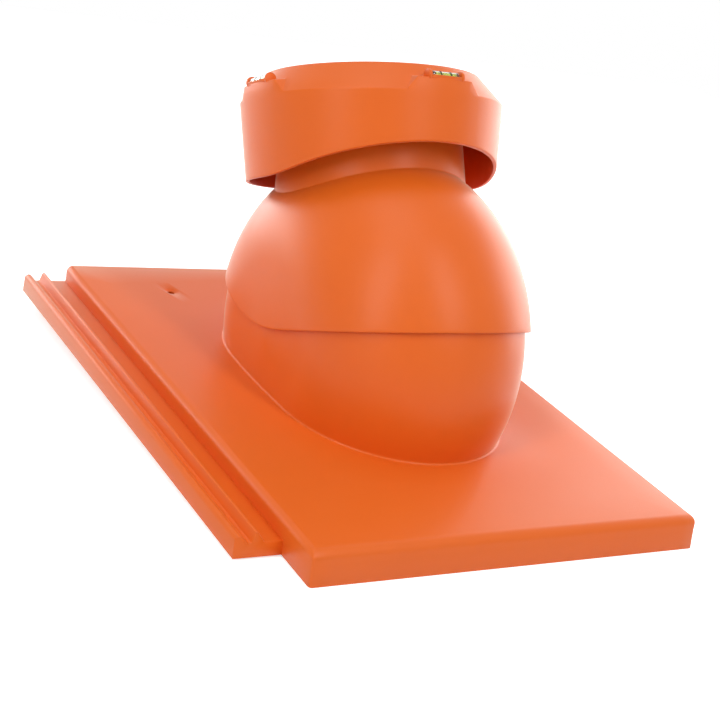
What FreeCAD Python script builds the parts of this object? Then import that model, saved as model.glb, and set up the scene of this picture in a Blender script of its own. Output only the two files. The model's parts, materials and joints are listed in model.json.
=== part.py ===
import FreeCAD, Part
import Sketcher
import math
import os
import re

# Roof tile vent: a flat interlocking cover tile with a barrel-shaped foot, and a vent pipe
# in a hood that tilts on the foot, so that the pipe stands upright at any usual roof pitch.
# Tile axes: X across the roof, Y up the slope, Z out of the roof. The origin is the middle of
# the batten seat, under the tile. Hood axes: the same, turned about X until Z is the pipe.

V = FreeCAD.Vector
doc = FreeCAD.newDocument("RoofTileVent")
sheet = doc.addObject("Spreadsheet::Sheet", "Sizes")

SIZES = {
    # cover tile
    "coverWidth": 300.0,
    "tileLength": 420.0,
    "tileHeight": 21.5,
    "tileWall": 3.0,
    "frontDraft": 12.0,
    "frontRounding": 7.0,
    "leftRounding": 5.0,
    "rightRounding": 3.5,
    # interlock along the left edge, and the lap over the next tile along the right edge
    "interlockWidth": 32.5,
    "interlockSetback": 35.5,
    "channelFloor": 8.7,
    "outerBeadFoot": 8.8,
    "outerBeadHeight": 13.7,
    "outerBeadRounding": 3.0,
    "outerBeadTurn": 41.7,
    "innerRibWidth": 8.5,
    "innerRibLean": 1.8,
    "innerRibTop": 2.4,
    "innerRibRounding": 1.3,
    "innerRibShoulder": 14.4,
    "channelWidth": 12.2,
    "lapClearance": 0.8,
    "lapRibWidth": 1.8,
    # underside
    "ribWidth": 2.5,
    "ribInset": 33.0,
    "ribSpacing": 80.0,
    "ribClearance": 3.0,
    "crossRibFront": 60.0,
    "seatFromBack": 58.0,
    "seatWidth": 5.0,
    "nibFromBack": 35.0,
    "nibDepth": 12.0,
    "nibThickness": 13.0,
    "nibWidth": 40.0,
    "nibSpacing": 162.0,
    # nail holes
    "nailHole": 5.0,
    "nailDish": 13.0,
    "nailDishDepth": 1.8,
    "nailBoss": 17.0,
    "nailSpacing": 161.0,
    "nailFromBack": 46.0,
    # tilting joint between foot and hood
    "pivotFromBack": 204.3,
    "pivotHeight": 57.2,
    "pitch": 24.0,
    "pitchMin": 20.0,
    "pitchMax": 45.0,
    "barrelRadius": 82.8,
    "barrelOffset": 46.4,
    "barrelLean": 3.9,
    "footWall": 3.0,
    "footFillet": 1.5,
    "hoodGap": 1.0,
    "slotGap": 1.2,
    # hood
    "hoodWall": 3.0,
    "hoodEdge": 4.7,
    "hoodEdgeStart": 26.6,
    "hoodEdgeArc": 137.5,
    "hoodEdgeRise": 32.0,
    "collarRise": 15.8,
    "collarDepth": 45.0,
    "collarRadius": 64.9,
    "collarDraft": 4.8,
    "shelfThickness": 3.0,
    "shelfClearance": 0.5,
    "socketGap": 0.4,
    # vent pipe
    "pipeRadius": 50.0,
    "pipeWall": 3.0,
    "pipeBelow": 24.0,
    "spigotLength": 45.0,
    "grooveWidth": 3.0,
    "grooveDepth": 0.6,
    "threadHeight": 0.8,
    "pipeHeadRadius": 61.5,
    "pipeRise": 5.0,
    "pipeChamfer": 1.0,
    # clamp under the foot
    "saddleGap": 0.3,
    "saddleWall": 3.0,
    "saddleMargin": 9.0,
    "sleeveWall": 4.0,
    "sleeveLength": 32.0,
    "boreGap": 0.3,
    "lockRingWidth": 9.0,
    "lockRingHeight": 10.0,
    "lockRingLip": 3.0,
    "gripDepth": 2.0,
    "gripWidth": 8.0,
    "gripCount": 12.0,
    # cap
    "capWall": 2.5,
    "capRimRadius": 88.9,
    "skirtDepth": 55.0,
    "capShoulderRise": 19.0,
    "capShoulderRadius": 93.4,
    "crownRise": 19.8,
    "capCrownRadius": 76.0,
    "capDome": 2.2,
    "mouthStart": -1.5,
    "mouthArc": 121.4,
    "mouthRise": 16.8,
    "webWidth": 2.5,
    "webReach": 6.0,
    "webSkirt": 12.0,
    "webGap": 0.3,
    "webCount": 4.0,
    # blocks on the cap's shoulder, and the level vials in two of them
    "blockCount": 4.0,
    "blockHeight": 8.7,
    "blockFoot": 29.0,
    "blockTop": 22.0,
    "blockSlope": 8.0,
    "blockDepth": 20.0,
    "vialRadius": 3.0,
    "vialWall": 0.6,
    "vialLength": 21.0,
    "vialInset": 3.9,
    "vialLift": 1.7,
    "cradleGap": 0.15,
    "cradleLength": 24.0,
    "cradleEnd": 2.0,
    "cradleLip": 1.0,
    "vialPlug": 2.2,
    "markWidth": 0.8,
    "markHeight": 0.15,
    "markSpacing": 8.0,
    "bubbleRadius": 1.1,
    "bubbleLength": 6.0,
}

for row, (name, number) in enumerate(SIZES.items(), start=1):
    sheet.set("A%d" % row, name)
    sheet.set("B%d" % row, str(number))
    sheet.setAlias("B%d" % row, name)
doc.recompute()


def bound(text):
    # An expression over size names, with each name given its sheet.
    return re.sub(r"[A-Za-z]\w*", lambda m: "Sizes." + m[0] if m[0] in SIZES else m[0], str(text))


def value(text):
    return float(sheet.evalExpression(bound(text)))


def bind(item, **expressions):
    for name, text in expressions.items():
        item.setExpression(name, bound(text))
    return item


def feature(kind, name, **properties):
    item = doc.addObject("Part::" + kind, name)
    for key, thing in properties.items():
        setattr(item, key, thing)
    return item


def trace(sketch, corners):
    # A closed outline. A corner is (x, y) for a straight edge from the corner before it, or
    # (x, y, radius) for an arc: positive turns left, negative turns right.
    points = [V(value(c[0]), value(c[1]), 0) for c in corners]
    ends = []
    first = sketch.GeometryCount
    for i, corner in enumerate(corners):
        start, end = points[i - 1], points[i]
        if len(corner) == 2:
            sketch.addGeometry(Part.LineSegment(start, end), False)
            ends.append((1, 2))
            continue
        radius = value(corner[2])
        chord = end - start
        side = V(-chord.y, chord.x, 0) * math.copysign(1 / chord.Length, radius)
        reach = math.sqrt(max(radius ** 2 - chord.Length ** 2 / 4, 0))
        centre = (start + end) * 0.5 + side * reach
        a, b = (start, end) if radius > 0 else (end, start)
        angles = [math.atan2(p.y - centre.y, p.x - centre.x) for p in (a, b)]
        circle = Part.Circle(centre, V(0, 0, 1), abs(radius))
        sketch.addGeometry(Part.ArcOfCircle(circle, angles[0], angles[1]), False)
        ends.append((1, 2) if radius > 0 else (2, 1))
    count = len(corners)
    for i in range(count):
        after = (i + 1) % count
        sketch.addConstraint(Sketcher.Constraint(
            "Coincident", first + i, ends[i][1], first + after, ends[after][0]))
    for i, corner in enumerate(corners):
        for kind, text, here in zip(("DistanceX", "DistanceY"), corner, points[i]):
            index = sketch.addConstraint(Sketcher.Constraint(kind, -1, 1, first + i, ends[i][1], here))
            sketch.setExpression("Constraints[%d]" % index, bound(text))
        if len(corner) == 3:
            index = sketch.addConstraint(Sketcher.Constraint("Radius", first + i, abs(value(corner[2]))))
            sketch.setExpression("Constraints[%d]" % index, bound("abs(%s)" % corner[2]))
    return sketch


PLANES = {
    "XY": FreeCAD.Rotation(),
    "XZ": FreeCAD.Rotation(V(1, 0, 0), 90),
    "YZ": FreeCAD.Rotation(V(1, 1, 1), 120),
}


def outline(name, plane, *loops, turned=0, at=("0", "0", "0")):
    # One sketch of closed outlines on a plane through a point, turned about Z if asked.
    sketch = doc.addObject("Sketcher::SketchObject", name)
    rotation = FreeCAD.Rotation(V(0, 0, 1), turned) * PLANES[plane]
    sketch.Placement = FreeCAD.Placement(V(*[value(t) for t in at]), rotation)
    for axis, text in zip("xyz", at):
        sketch.setExpression("Placement.Base." + axis, bound(text))
    for corners in loops:
        trace(sketch, corners)
    return sketch


def extrude(name, sketch, direction, start, end, turned=0):
    # From start to end along the direction, both measured from the sketch's plane.
    way = FreeCAD.Rotation(V(0, 0, 1), turned).multVec(V(*direction))
    item = feature("Extrusion", name, Base=sketch, DirMode="Custom", Dir=way, Solid=True)
    return bind(item, LengthFwd=end, LengthRev="-(%s)" % start)


def revolve(name, sketch, axis, at=("0", "0", "0"), angle="360"):
    item = feature("Revolution", name, Source=sketch, Axis=V(*axis), Solid=True)
    for letter, text in zip("xyz", at):
        item.setExpression("Base." + letter, bound(text))
    return bind(item, Angle=angle)


def box(name, low, high):
    item = feature("Box", name)
    for size, axis, a, b in zip(("Length", "Width", "Height"), "xyz", low, high):
        item.setExpression(size, bound("(%s) - (%s)" % (b, a)))
        item.setExpression("Placement.Base." + axis, bound(a))
    return item


# Round faces start off the middle planes, where other pieces are cut.
SEAM_TURN = 20
SEAM = FreeCAD.Placement(V(), FreeCAD.Rotation(V(0, 0, 1), SEAM_TURN))


def rod(name, radius, start, end, at=("0", "0"), top=None):
    # A cylinder along Z, or a cone where the top has a radius of its own.
    item = feature("Cone" if top else "Cylinder", name, Placement=SEAM)
    if top:
        bind(item, Radius1=radius, Radius2=top)
    else:
        bind(item, Radius=radius)
    bind(item, Height="(%s) - (%s)" % (end, start))
    for axis, text in zip("xyz", (at[0], at[1], start)):
        item.setExpression("Placement.Base." + axis, bound(text))
    return item


def fuse(name, *shapes):
    return feature("MultiFuse", name, Shapes=list(shapes))


def common(name, *shapes):
    return feature("MultiCommon", name, Shapes=list(shapes))


def cut(name, base, tool):
    return feature("Cut", name, Base=base, Tool=tool)


def rectangle(x0, x1, y0, y1):
    return [(x0, y0), (x1, y0), (x1, y1), (x0, y1)]


# The barrel: a round crest, set off from the pivot axis, between flanks that lean in, all
# turned about that axis. Foot, hood and clamp are such barrels, one inside the other.
def barrel(name, inset, at=("0", "0", "0")):
    radius = "(barrelRadius - (%s))" % inset
    half = "((%s + barrelOffset * sin(barrelLean)) / cos(barrelLean))" % radius
    side = radius + " * cos(barrelLean)"
    level = "barrelOffset + %s * sin(barrelLean)" % radius
    profile = outline(name + "_profile", "XY", [
        ("-" + half, "0"),
        (half, "0"),
        (side, level),
        ("-" + side, level, radius),
    ], at=at)
    return revolve(name, profile, (1, 0, 0), at)


# Places that line up with one another: on the tile first, then along the pipe. The thread's
# crest is the pipe's outside between the groove and the head.
SEAT_LINE = "(tileLength - seatFromBack)"
NIB_LINE = "(tileLength - nibFromBack)"
PIVOT = ("coverWidth / 2", "tileLength - pivotFromBack", "pivotHeight")
CREST = "(barrelRadius + barrelOffset)"
THREAD = "(pipeRadius + threadHeight)"
SLEEVE_END = "(%s - sleeveLength)" % CREST
SHELF = "(%s + hoodGap + shelfClearance)" % CREST
PIPE_SEAT = "(%s + shelfThickness)" % SHELF
COLLAR_TOP = "(%s + collarRise)" % CREST
COLLAR_FOOT = "(%s - collarDepth)" % COLLAR_TOP
PIPE_TOP = "(%s + pipeRise)" % COLLAR_TOP
SHOULDER = "(%s + capShoulderRise)" % COLLAR_TOP
RIM = "(%s - skirtDepth)" % SHOULDER
CROWN = "(%s + crownRise)" % SHOULDER


def cover_section(floor, inset):
    top = "tileHeight - " + inset
    right = "coverWidth - " + inset
    return [
        (inset, floor),
        (right, floor),
        (right, "tileHeight - rightRounding"),
        ("coverWidth - rightRounding", top, "rightRounding - " + inset),
        ("leftRounding", top),
        (inset, "tileHeight - leftRounding", "leftRounding - " + inset),
    ]


def front_at(height, inset="0"):
    # How far up the slope the leaning front face stands at a height.
    return "((%s) * tan(frontDraft) + (%s) / cos(frontDraft))" % (height, inset)


def length_section(floor, inset):
    top = "(tileHeight - %s)" % inset
    reach = "((frontRounding - %s) * tan(45 - frontDraft / 2))" % inset
    return [
        (front_at(floor, inset), floor),
        ("tileLength - " + inset, floor),
        ("tileLength - " + inset, top),
        ("%s + %s" % (front_at(top, inset), reach), top),
        ("%s - %s * sin(frontDraft)" % (front_at(top, inset), reach),
         "%s - %s * cos(frontDraft)" % (top, reach), "frontRounding - " + inset),
    ]


def cover_block(name, floor, inset):
    across = outline(name + "_across", "XZ", cover_section(floor, inset))
    along = outline(name + "_along", "YZ", length_section(floor, inset))
    return common(name,
                  extrude(name + "_length", across, (0, 1, 0), "0", "tileLength"),
                  extrude(name + "_width", along, (1, 0, 0), "0", "coverWidth"))


def interlock():
    # Left edge: a round outer bead, a drip rib and two channels, closed at the leaning lower end.
    bead = "(outerBeadRounding * (1 + cos(outerBeadTurn)))"
    drop = "outerBeadRounding * (1 - sin(outerBeadTurn))"
    rib_left = "(-channelWidth - innerRibWidth)"
    section = outline("interlock_section", "XZ", [
        ("-interlockWidth", "0"),
        ("tileWall", "0"),
        ("tileWall", "channelFloor"),
        ("-channelWidth", "channelFloor"),
        (rib_left + " + innerRibLean + innerRibTop", "innerRibShoulder"),
        (rib_left + " + innerRibLean", "innerRibShoulder", "innerRibRounding"),
        (rib_left, "channelFloor"),
        ("-interlockWidth + outerBeadFoot", "channelFloor"),
        ("-interlockWidth + " + bead, "outerBeadHeight - " + drop),
        ("-interlockWidth", "outerBeadHeight - outerBeadRounding", "outerBeadRounding"),
    ])
    solid = extrude("interlock_solid", section, (0, 1, 0), "interlockSetback", "tileLength")
    top = "(channelFloor - tileWall)"
    hollow = outline("interlock_hollow_profile", "YZ", [
        ("interlockSetback + " + front_at("-tileWall", "tileWall"), "-tileWall"),
        ("tileLength - tileWall", "-tileWall"),
        ("tileLength - tileWall", top),
        ("interlockSetback + " + front_at(top, "tileWall"), top),
    ])
    lean = outline("interlock_front_profile", "YZ", [
        ("0", "-tileWall"),
        ("interlockSetback + " + front_at("-tileWall"), "-tileWall"),
        ("interlockSetback + " + front_at("tileHeight"), "tileHeight"),
        ("0", "tileHeight"),
    ])
    room = extrude("interlock_hollow", hollow, (1, 0, 0), "-interlockWidth + tileWall", "0")
    front = extrude("interlock_front", lean, (1, 0, 0), "-interlockWidth", "0")
    return cut("interlock", solid, fuse("interlock_tools", room, front))


def rib(name, x0, x1, y0, y1, bottom="ribClearance"):
    plan = outline(name + "_plan", "XY", rectangle(x0, x1, y0, y1))
    return extrude(name, plan, (0, 0, 1), bottom, "tileHeight - tileWall / 2")


def stiffening():
    # Ribs under the cover, moulded down to just above the battens.
    near, far = front_at("tileHeight", "tileWall / 2"), "tileLength - tileWall / 2"
    left, right = "tileWall / 2", "coverWidth - tileWall / 2"
    lines = [
        "ribInset",
        "(coverWidth - ribSpacing) / 2",
        "(coverWidth + ribSpacing) / 2",
        "coverWidth - interlockWidth - lapClearance - ribWidth",
    ]
    ribs = [rib("rib_%d" % i, x + " - ribWidth / 2", x + " + ribWidth / 2", near, far)
            for i, x in enumerate(lines, start=1)]
    ribs.append(rib("rib_front", left, right, "crossRibFront - ribWidth / 2", "crossRibFront + ribWidth / 2"))
    ribs.append(rib("rib_seat", left, right, SEAT_LINE + " - seatWidth / 2", SEAT_LINE + " + seatWidth / 2", "0"))
    # The rain rib hangs in the middle of the next tile's outer channel.
    outer_channel = "(interlockWidth - outerBeadFoot - channelWidth - innerRibWidth)"
    lap = "coverWidth - channelWidth - innerRibWidth - %s / 2" % outer_channel
    ribs.append(rib("rib_lap", lap + " - lapRibWidth / 2", lap + " + lapRibWidth / 2",
                    "interlockSetback", far, "channelFloor + lapClearance"))
    return ribs


def nibs():
    # Two hooks that hang the tile on its batten.
    profile = [
        (NIB_LINE, "tileHeight - tileWall / 2"),
        (NIB_LINE, "-nibDepth"),
        (NIB_LINE + " + nibThickness * 0.6", "-nibDepth"),
        (NIB_LINE + " + nibThickness", "-nibDepth / 3"),
        (NIB_LINE + " + nibThickness", "tileHeight - tileWall / 2"),
    ]
    pieces = []
    for name, side in (("left", "-"), ("right", "+")):
        middle = "coverWidth / 2 %s nibSpacing / 2" % side
        sketch = outline("nib_%s_profile" % name, "YZ", profile)
        start, end = middle + " - nibWidth / 2", middle + " + nibWidth / 2"
        pieces.append(extrude("nib_" + name, sketch, (1, 0, 0), start, end))
    return pieces


def nail_places():
    return [("coverWidth / 2 %s nailSpacing / 2" % side, "tileLength - nailFromBack") for side in "-+"]


def pipe_slot():
    # The way of the vent pipe through the foot, from the least pitch to the most.
    reach = CREST + " + slotGap"
    half = "(%s + slotGap)" % THREAD
    wedge = outline("slot_wedge_profile", "XZ", rectangle("-" + half, half, "barrelOffset", reach), at=PIVOT)
    wedge.setExpression("Placement.Rotation.Angle", bound("90 - pitchMin"))
    swept = revolve("slot_wedge", wedge, (-1, 0, 0), PIVOT, "pitchMax - pitchMin")
    pieces = []
    for name, angle in (("slot_low", "pitchMin"), ("slot_high", "pitchMax")):
        item = rod(name, half, "0", reach)
        item.Placement = FreeCAD.Placement(V(), FreeCAD.Rotation(V(-1, 0, 0), value(angle)))
        for axis, text in zip("xyz", PIVOT):
            item.setExpression("Placement.Base." + axis, bound(text))
        item.setExpression("Placement.Rotation.Angle", bound(angle))
        pieces.append(item)
    return swept, pieces


def foot_outline(shape):
    # The edges where the foot rises out of the cover.
    room = value(CREST)
    middle = value(PIVOT[1])
    names = []
    for i, edge in enumerate(shape.Edges, start=1):
        ends = edge.BoundBox
        level = abs(ends.ZMin - value("tileHeight")) < 0.01 and ends.ZLength < 0.02
        if level and ends.YMin > middle - room and ends.YMax < middle + room:
            names.append("Edge%d" % i)
    return names


def base_tile():
    block = cover_block("cover", "0", "0")
    hollow = cover_block("cover_hollow", "-tileWall", "tileWall")
    shell = cut("cover_shell", block, hollow)
    lap = box("lap_recess",
              ("coverWidth - interlockWidth - lapClearance", "interlockSetback - lapClearance", "-tileWall"),
              ("coverWidth + tileWall", "tileLength + tileWall", "channelFloor + lapClearance"))
    bosses = [rod("nail_boss_%d" % i, "nailBoss / 2", "0", "tileHeight - tileWall / 2", at)
              for i, at in enumerate(nail_places(), start=1)]
    plate = fuse("plate", shell, *stiffening(), *nibs(), *bosses)
    plate = cut("plate_lapped", plate, lap)
    foot = common("foot_block", barrel("foot_barrel", "0", PIVOT),
                  box("foot_room", ("0", "0", "ribClearance"),
                      ("coverWidth", "tileLength", "pivotHeight + %s * 2" % CREST)))
    tile = fuse("tile_solid", plate, interlock(), foot)
    wedge, ends = pipe_slot()
    tools = [barrel("foot_room_inside", "footWall", PIVOT), wedge, *ends]
    for i, at in enumerate(nail_places(), start=1):
        tools.append(rod("nail_hole_%d" % i, "nailHole / 2", "-tileWall", "tileHeight + tileWall", at))
        tools.append(rod("nail_dish_%d" % i, "nailHole / 2", "tileHeight - nailDishDepth", "tileHeight", at,
                         top="nailDish / 2"))
    opened = cut("tile_opened", tile, fuse("tile_openings", *tools))
    doc.recompute()
    item = doc.addObject("PartDesign::Body", "base_tile")
    item.BaseFeature = opened
    doc.recompute()
    whole = item.Group[0]
    fillet = item.newObject("PartDesign::Fillet", "foot_fillet")
    fillet.Base = (whole, foot_outline(whole.Shape))
    fillet.setExpression("Radius", bound("footFillet"))
    return item


# Hood axes from here on: the pivot is the origin and Z is the pipe.
def collar_radius(level):
    return "(collarRadius + (%s - %s) * tan(collarDraft))" % (COLLAR_TOP, level)


def edge_below(name, level, start, arc, rise, far):
    # What lies below an edge that is level on one side (far = -1 to the front, 1 to the back)
    # and beyond start turns up along an arc into a straight slope on the other side.
    turn = "(%s) * %d" % (arc, far)
    knee_y = "(%s) - %s * sin(%s)" % (start, turn, rise)
    knee_z = "(%s) + (%s) * (1 - cos(%s))" % (level, arc, rise)
    reach = "(capShoulderRadius + barrelRadius)"
    run = "(%s - abs(%s))" % (reach, knee_y)
    return outline(name, "YZ", [
        ("%d * %s" % (far, reach), level),
        ("%s * %d" % (reach, far), "-" + reach),
        ("%d * %s" % (-far, reach), "-" + reach),
        ("%d * %s" % (-far, reach), "%s + %s * tan(%s)" % (knee_z, run, rise)),
        (knee_y, knee_z),
        (start, level, "(%s) * %d" % (arc, far)),
    ])


def hood():
    # Barrel and collar in one moulding, open underneath, with an inner shelf for the pipe.
    above = COLLAR_TOP + " + hoodWall"
    collar = rod("hood_collar", collar_radius(COLLAR_FOOT), COLLAR_FOOT, COLLAR_TOP, top="collarRadius")
    outer = fuse("hood_outer", barrel("hood_barrel", "-hoodGap - hoodWall"), collar)
    lower = rod("hood_throat", collar_radius(COLLAR_FOOT) + " - hoodWall", COLLAR_FOOT, SHELF,
                top=collar_radius(SHELF) + " - hoodWall")
    neck = rod("hood_neck", THREAD + " + socketGap", COLLAR_FOOT, above)
    socket = rod("hood_socket", "pipeHeadRadius + socketGap", PIPE_SEAT, above)
    edge = edge_below("hood_edge_profile", "hoodEdge", "-hoodEdgeStart", "hoodEdgeArc", "hoodEdgeRise", -1)
    below = extrude("hood_edge", edge, (1, 0, 0), "-barrelRadius * 2", "barrelRadius * 2")
    inner = fuse("hood_inner", barrel("hood_hollow", "-hoodGap"), lower, neck, socket, below)
    return cut("hood", outer, inner)


def plane_of(item, role):
    return next(f for f in item.Origin.OriginFeatures if f.Role == role)


def body_sketch(item, name, role, *loops, lift="0"):
    sketch = item.newObject("Sketcher::SketchObject", name)
    sketch.AttachmentSupport = [(plane_of(item, role), "")]
    sketch.MapMode = "FlatFace"
    sketch.setExpression("AttachmentOffset.Base.z", bound(lift))
    for corners in loops:
        trace(sketch, corners)
    return sketch


def turned_body(name, corners):
    # A PartDesign body turned about Z from half a section: radius along X, height along Z.
    item = doc.addObject("PartDesign::Body", name)
    item.Placement = SEAM
    sketch = body_sketch(item, name + "_section", "XZ_Plane", corners)
    turn = item.newObject("PartDesign::Revolution", name + "_turned")
    turn.Profile = sketch
    turn.ReferenceAxis = (sketch, ["V_Axis"])
    turn.Angle = 360
    return item


def vent_pipe():
    # Duct pipe: a plain spigot, the groove where its thread ends, the thread, and a wider head
    # that sits on the hood's shelf.
    bore = "pipeRadius - pipeWall"
    neck = "pipeRadius - grooveDepth"
    stop = "spigotLength - pipeBelow"
    return turned_body("vent_pipe", [
        (bore, "-pipeBelow"),
        ("pipeRadius - pipeChamfer", "-pipeBelow"),
        ("pipeRadius", "-pipeBelow + pipeChamfer"),
        ("pipeRadius", stop),
        (neck, stop),
        (neck, stop + " + grooveWidth"),
        (THREAD, stop + " + grooveWidth"),
        (THREAD, PIPE_SEAT),
        ("pipeHeadRadius", PIPE_SEAT),
        ("pipeHeadRadius", PIPE_TOP),
        ("pipeHeadRadius - pipeWall", PIPE_TOP),
        ("pipeHeadRadius - pipeWall", PIPE_SEAT + " + pipeWall"),
        (bore, PIPE_SEAT + " + pipeWall"),
    ])


def clamp_saddle():
    # A piece of barrel that bears on the inside of the foot, on a sleeve round the pipe.
    inset = "footWall + saddleGap"
    bend = cut("saddle_bend", barrel("saddle_barrel", inset), barrel("saddle_hollow", inset + " + saddleWall"))
    skin = common("saddle_skin", bend,
                  rod("saddle_disc", "barrelRadius - saddleMargin", SLEEVE_END + " / 2", CREST))
    tube = rod("saddle_tube", THREAD + " + boreGap + sleeveWall", SLEEVE_END, CREST)
    sleeve = common("saddle_sleeve", barrel("saddle_limit", inset), tube)
    bore = rod("saddle_bore", THREAD + " + boreGap", "0", CREST)
    return cut("clamp_saddle", fuse("saddle_solid", skin, sleeve), bore)


def lock_ring():
    # Threaded on the pipe under the saddle, with grips round its edge.
    outer = THREAD + " + lockRingWidth"
    low = SLEEVE_END + " - lockRingHeight"
    item = turned_body("lock_ring", [
        (THREAD, low),
        (outer, low),
        (outer, SLEEVE_END + " - lockRingLip"),
        (THREAD + " + boreGap + sleeveWall", SLEEVE_END),
        (THREAD, SLEEVE_END),
    ])
    doc.recompute()
    grip = body_sketch(item, "lock_ring_grip", "XY_Plane", rectangle(
        "-gripWidth / 2", "gripWidth / 2", outer + " - gripDepth", outer + " + gripDepth"), lift=low)
    pocket = item.newObject("PartDesign::Pocket", "lock_ring_notch")
    pocket.Profile = grip
    pocket.Type = "Length"
    pocket.Reversed = True
    pocket.setExpression("Length", bound("lockRingHeight - lockRingLip"))
    pattern = item.newObject("PartDesign::PolarPattern", "lock_ring_notches")
    pattern.Originals = [pocket]
    pattern.Axis = (grip, ["N_Axis"])
    pattern.Angle = 360
    pattern.setExpression("Occurrences", bound("gripCount"))
    item.Tip = pattern
    return item


def cap_section(inset):
    # The skirt widens to the shoulder, then a cone leads in to a crown that is part of a sphere.
    crown = "(capCrownRadius - %s / 2)" % inset
    dome = "((%s ^ 2 + capDome ^ 2) / (2 * capDome))" % crown
    flare = "((capShoulderRadius - capRimRadius) / skirtDepth)"
    below = "capWall * 4"
    low = "(%s - %s)" % (RIM, below)
    return [
        ("0", low),
        ("capRimRadius - %s * %s - %s" % (below, flare, inset), low),
        ("capShoulderRadius - " + inset, "%s - %s / 2" % (SHOULDER, inset)),
        (crown, "%s - %s" % (CROWN, inset)),
        ("0", "%s + capDome - %s" % (CROWN, inset), dome),
    ]


def cap_block(number, turned):
    # The skirt's wall carried up as a block with sloping ends, level in front of the cone.
    lean = "((blockFoot - blockTop) / blockHeight)"
    far = "capShoulderRadius + capWall"
    near = "capShoulderRadius - blockDepth"
    high = "(blockHeight + blockDepth * tan(blockSlope))"
    ends = outline("block_%d_ends" % number, "XZ", [
        ("-blockFoot", SHOULDER),
        ("blockFoot", SHOULDER),
        ("blockFoot - %s * %s" % (high, lean), "%s + %s" % (SHOULDER, high)),
        ("-blockFoot + %s * %s" % (high, lean), "%s + %s" % (SHOULDER, high)),
    ], turned=turned)
    ledge = outline("block_%d_ledge" % number, "YZ", [
        ("-(%s)" % far, SHOULDER),
        ("-(%s)" % near, SHOULDER),
        ("-(%s)" % near, "%s + %s" % (SHOULDER, high)),
        ("-(%s)" % far, SHOULDER + " + blockHeight - capWall * tan(blockSlope)"),
    ], turned=turned)
    across = extrude("block_%d_across" % number, ends, (0, 1, 0), "-(%s)" % far, "-(%s)" % near, turned)
    along = extrude("block_%d_along" % number, ledge, (1, 0, 0), "-blockFoot", "blockFoot", turned)
    limit = rod("block_%d_limit" % number, "capShoulderRadius", SHOULDER, CROWN + " + capDome")
    return common("block_%d" % number, across, along, limit)


VIAL_AT = ("0", "-(capShoulderRadius - vialInset)",
           SHOULDER + " + blockHeight + vialLift")
VIALS = {"front": 0, "left": -90}


def beam(name, radius, start, end, at, turned):
    # A cylinder along the hood's X axis through a point, turned about Z.
    item = feature("Cylinder", name)
    bind(item, Radius=radius, Height="(%s) - (%s)" % (end, start))
    spin = FreeCAD.Placement(V(), FreeCAD.Rotation(V(0, 0, 1), turned))
    place = FreeCAD.Placement(V(value(start), value(at[1]), value(at[2])), FreeCAD.Rotation(V(0, 1, 0), 90))
    item.Placement = spin.multiply(place)
    return item


def cradle(name, turned):
    # Half a trough between two round ends, for one vial.
    radius = "vialRadius + cradleGap + cradleLip"
    half = "cradleLength / 2"
    trough = beam("cradle_%s_trough" % name, radius, "-" + half, half, VIAL_AT, turned)
    reach = "capShoulderRadius"
    room = outline("cradle_%s_room_plan" % name, "XY",
                   rectangle("-cradleLength", "cradleLength", "-(%s)" % reach, "0"), turned=turned)
    lower = common("cradle_%s_lower" % name, trough,
                   extrude("cradle_%s_room" % name, room, (0, 0, 1), "0", VIAL_AT[2]))
    ends = [beam("cradle_%s_end_%d" % (name, i), radius, start, end, VIAL_AT, turned) for i, (start, end) in
            enumerate((("-%s - cradleEnd" % half, "-" + half), (half, half + " + cradleEnd")), start=1)]
    groove = beam("cradle_%s_groove" % name, "vialRadius + cradleGap", "-" + half, half, VIAL_AT, turned)
    return [lower, *ends], groove


def cap():
    outer = revolve("cap_outside", outline("cap_outside_profile", "XZ", cap_section("0"), turned=SEAM_TURN),
                    (0, 0, 1))
    blocks = [cap_block(k + 1, 360 * k / value("blockCount")) for k in range(int(value("blockCount")))]
    inner = revolve("cap_inside", outline("cap_inside_profile", "XZ", cap_section("capWall"), turned=SEAM_TURN),
                    (0, 0, 1))
    mouth = edge_below("cap_mouth_profile", RIM, "-mouthStart", "mouthArc", "mouthRise", 1)
    below = extrude("cap_mouth", mouth, (1, 0, 0), "-capShoulderRadius * 2", "capShoulderRadius * 2")
    shell = cut("cap_shell", fuse("cap_solid", outer, *blocks), fuse("cap_room", inner, below))
    webs = []
    seat = PIPE_TOP + " - webSkirt"
    inside = collar_radius("(%s)" % seat) + " + webGap"
    for k in range(int(value("webCount"))):
        turned = 360 * (k + 0.5) / value("webCount")
        profile = outline("web_%d_profile" % (k + 1), "XZ", [
            ("pipeHeadRadius - webReach", PIPE_TOP),
            (inside, PIPE_TOP),
            (inside, seat),
            ("capShoulderRadius", seat),
            ("capShoulderRadius", CROWN),
            ("pipeHeadRadius - webReach", CROWN),
        ], turned=turned)
        plate = extrude("web_%d_plate" % (k + 1), profile, (0, 1, 0), "-webWidth / 2", "webWidth / 2", turned)
        limit = revolve("web_%d_limit" % (k + 1), outline("web_%d_limit_profile" % (k + 1), "XZ",
                        cap_section("capWall / 2")), (0, 0, 1))
        webs.append(common("web_%d" % (k + 1), plate, limit))
    cradles = [cradle(name, turned) for name, turned in VIALS.items()]
    solid = fuse("cap_whole", shell, *webs, *[piece for pieces, groove in cradles for piece in pieces])
    return cut("cap", solid, fuse("cap_grooves", *[groove for pieces, groove in cradles]))


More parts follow.
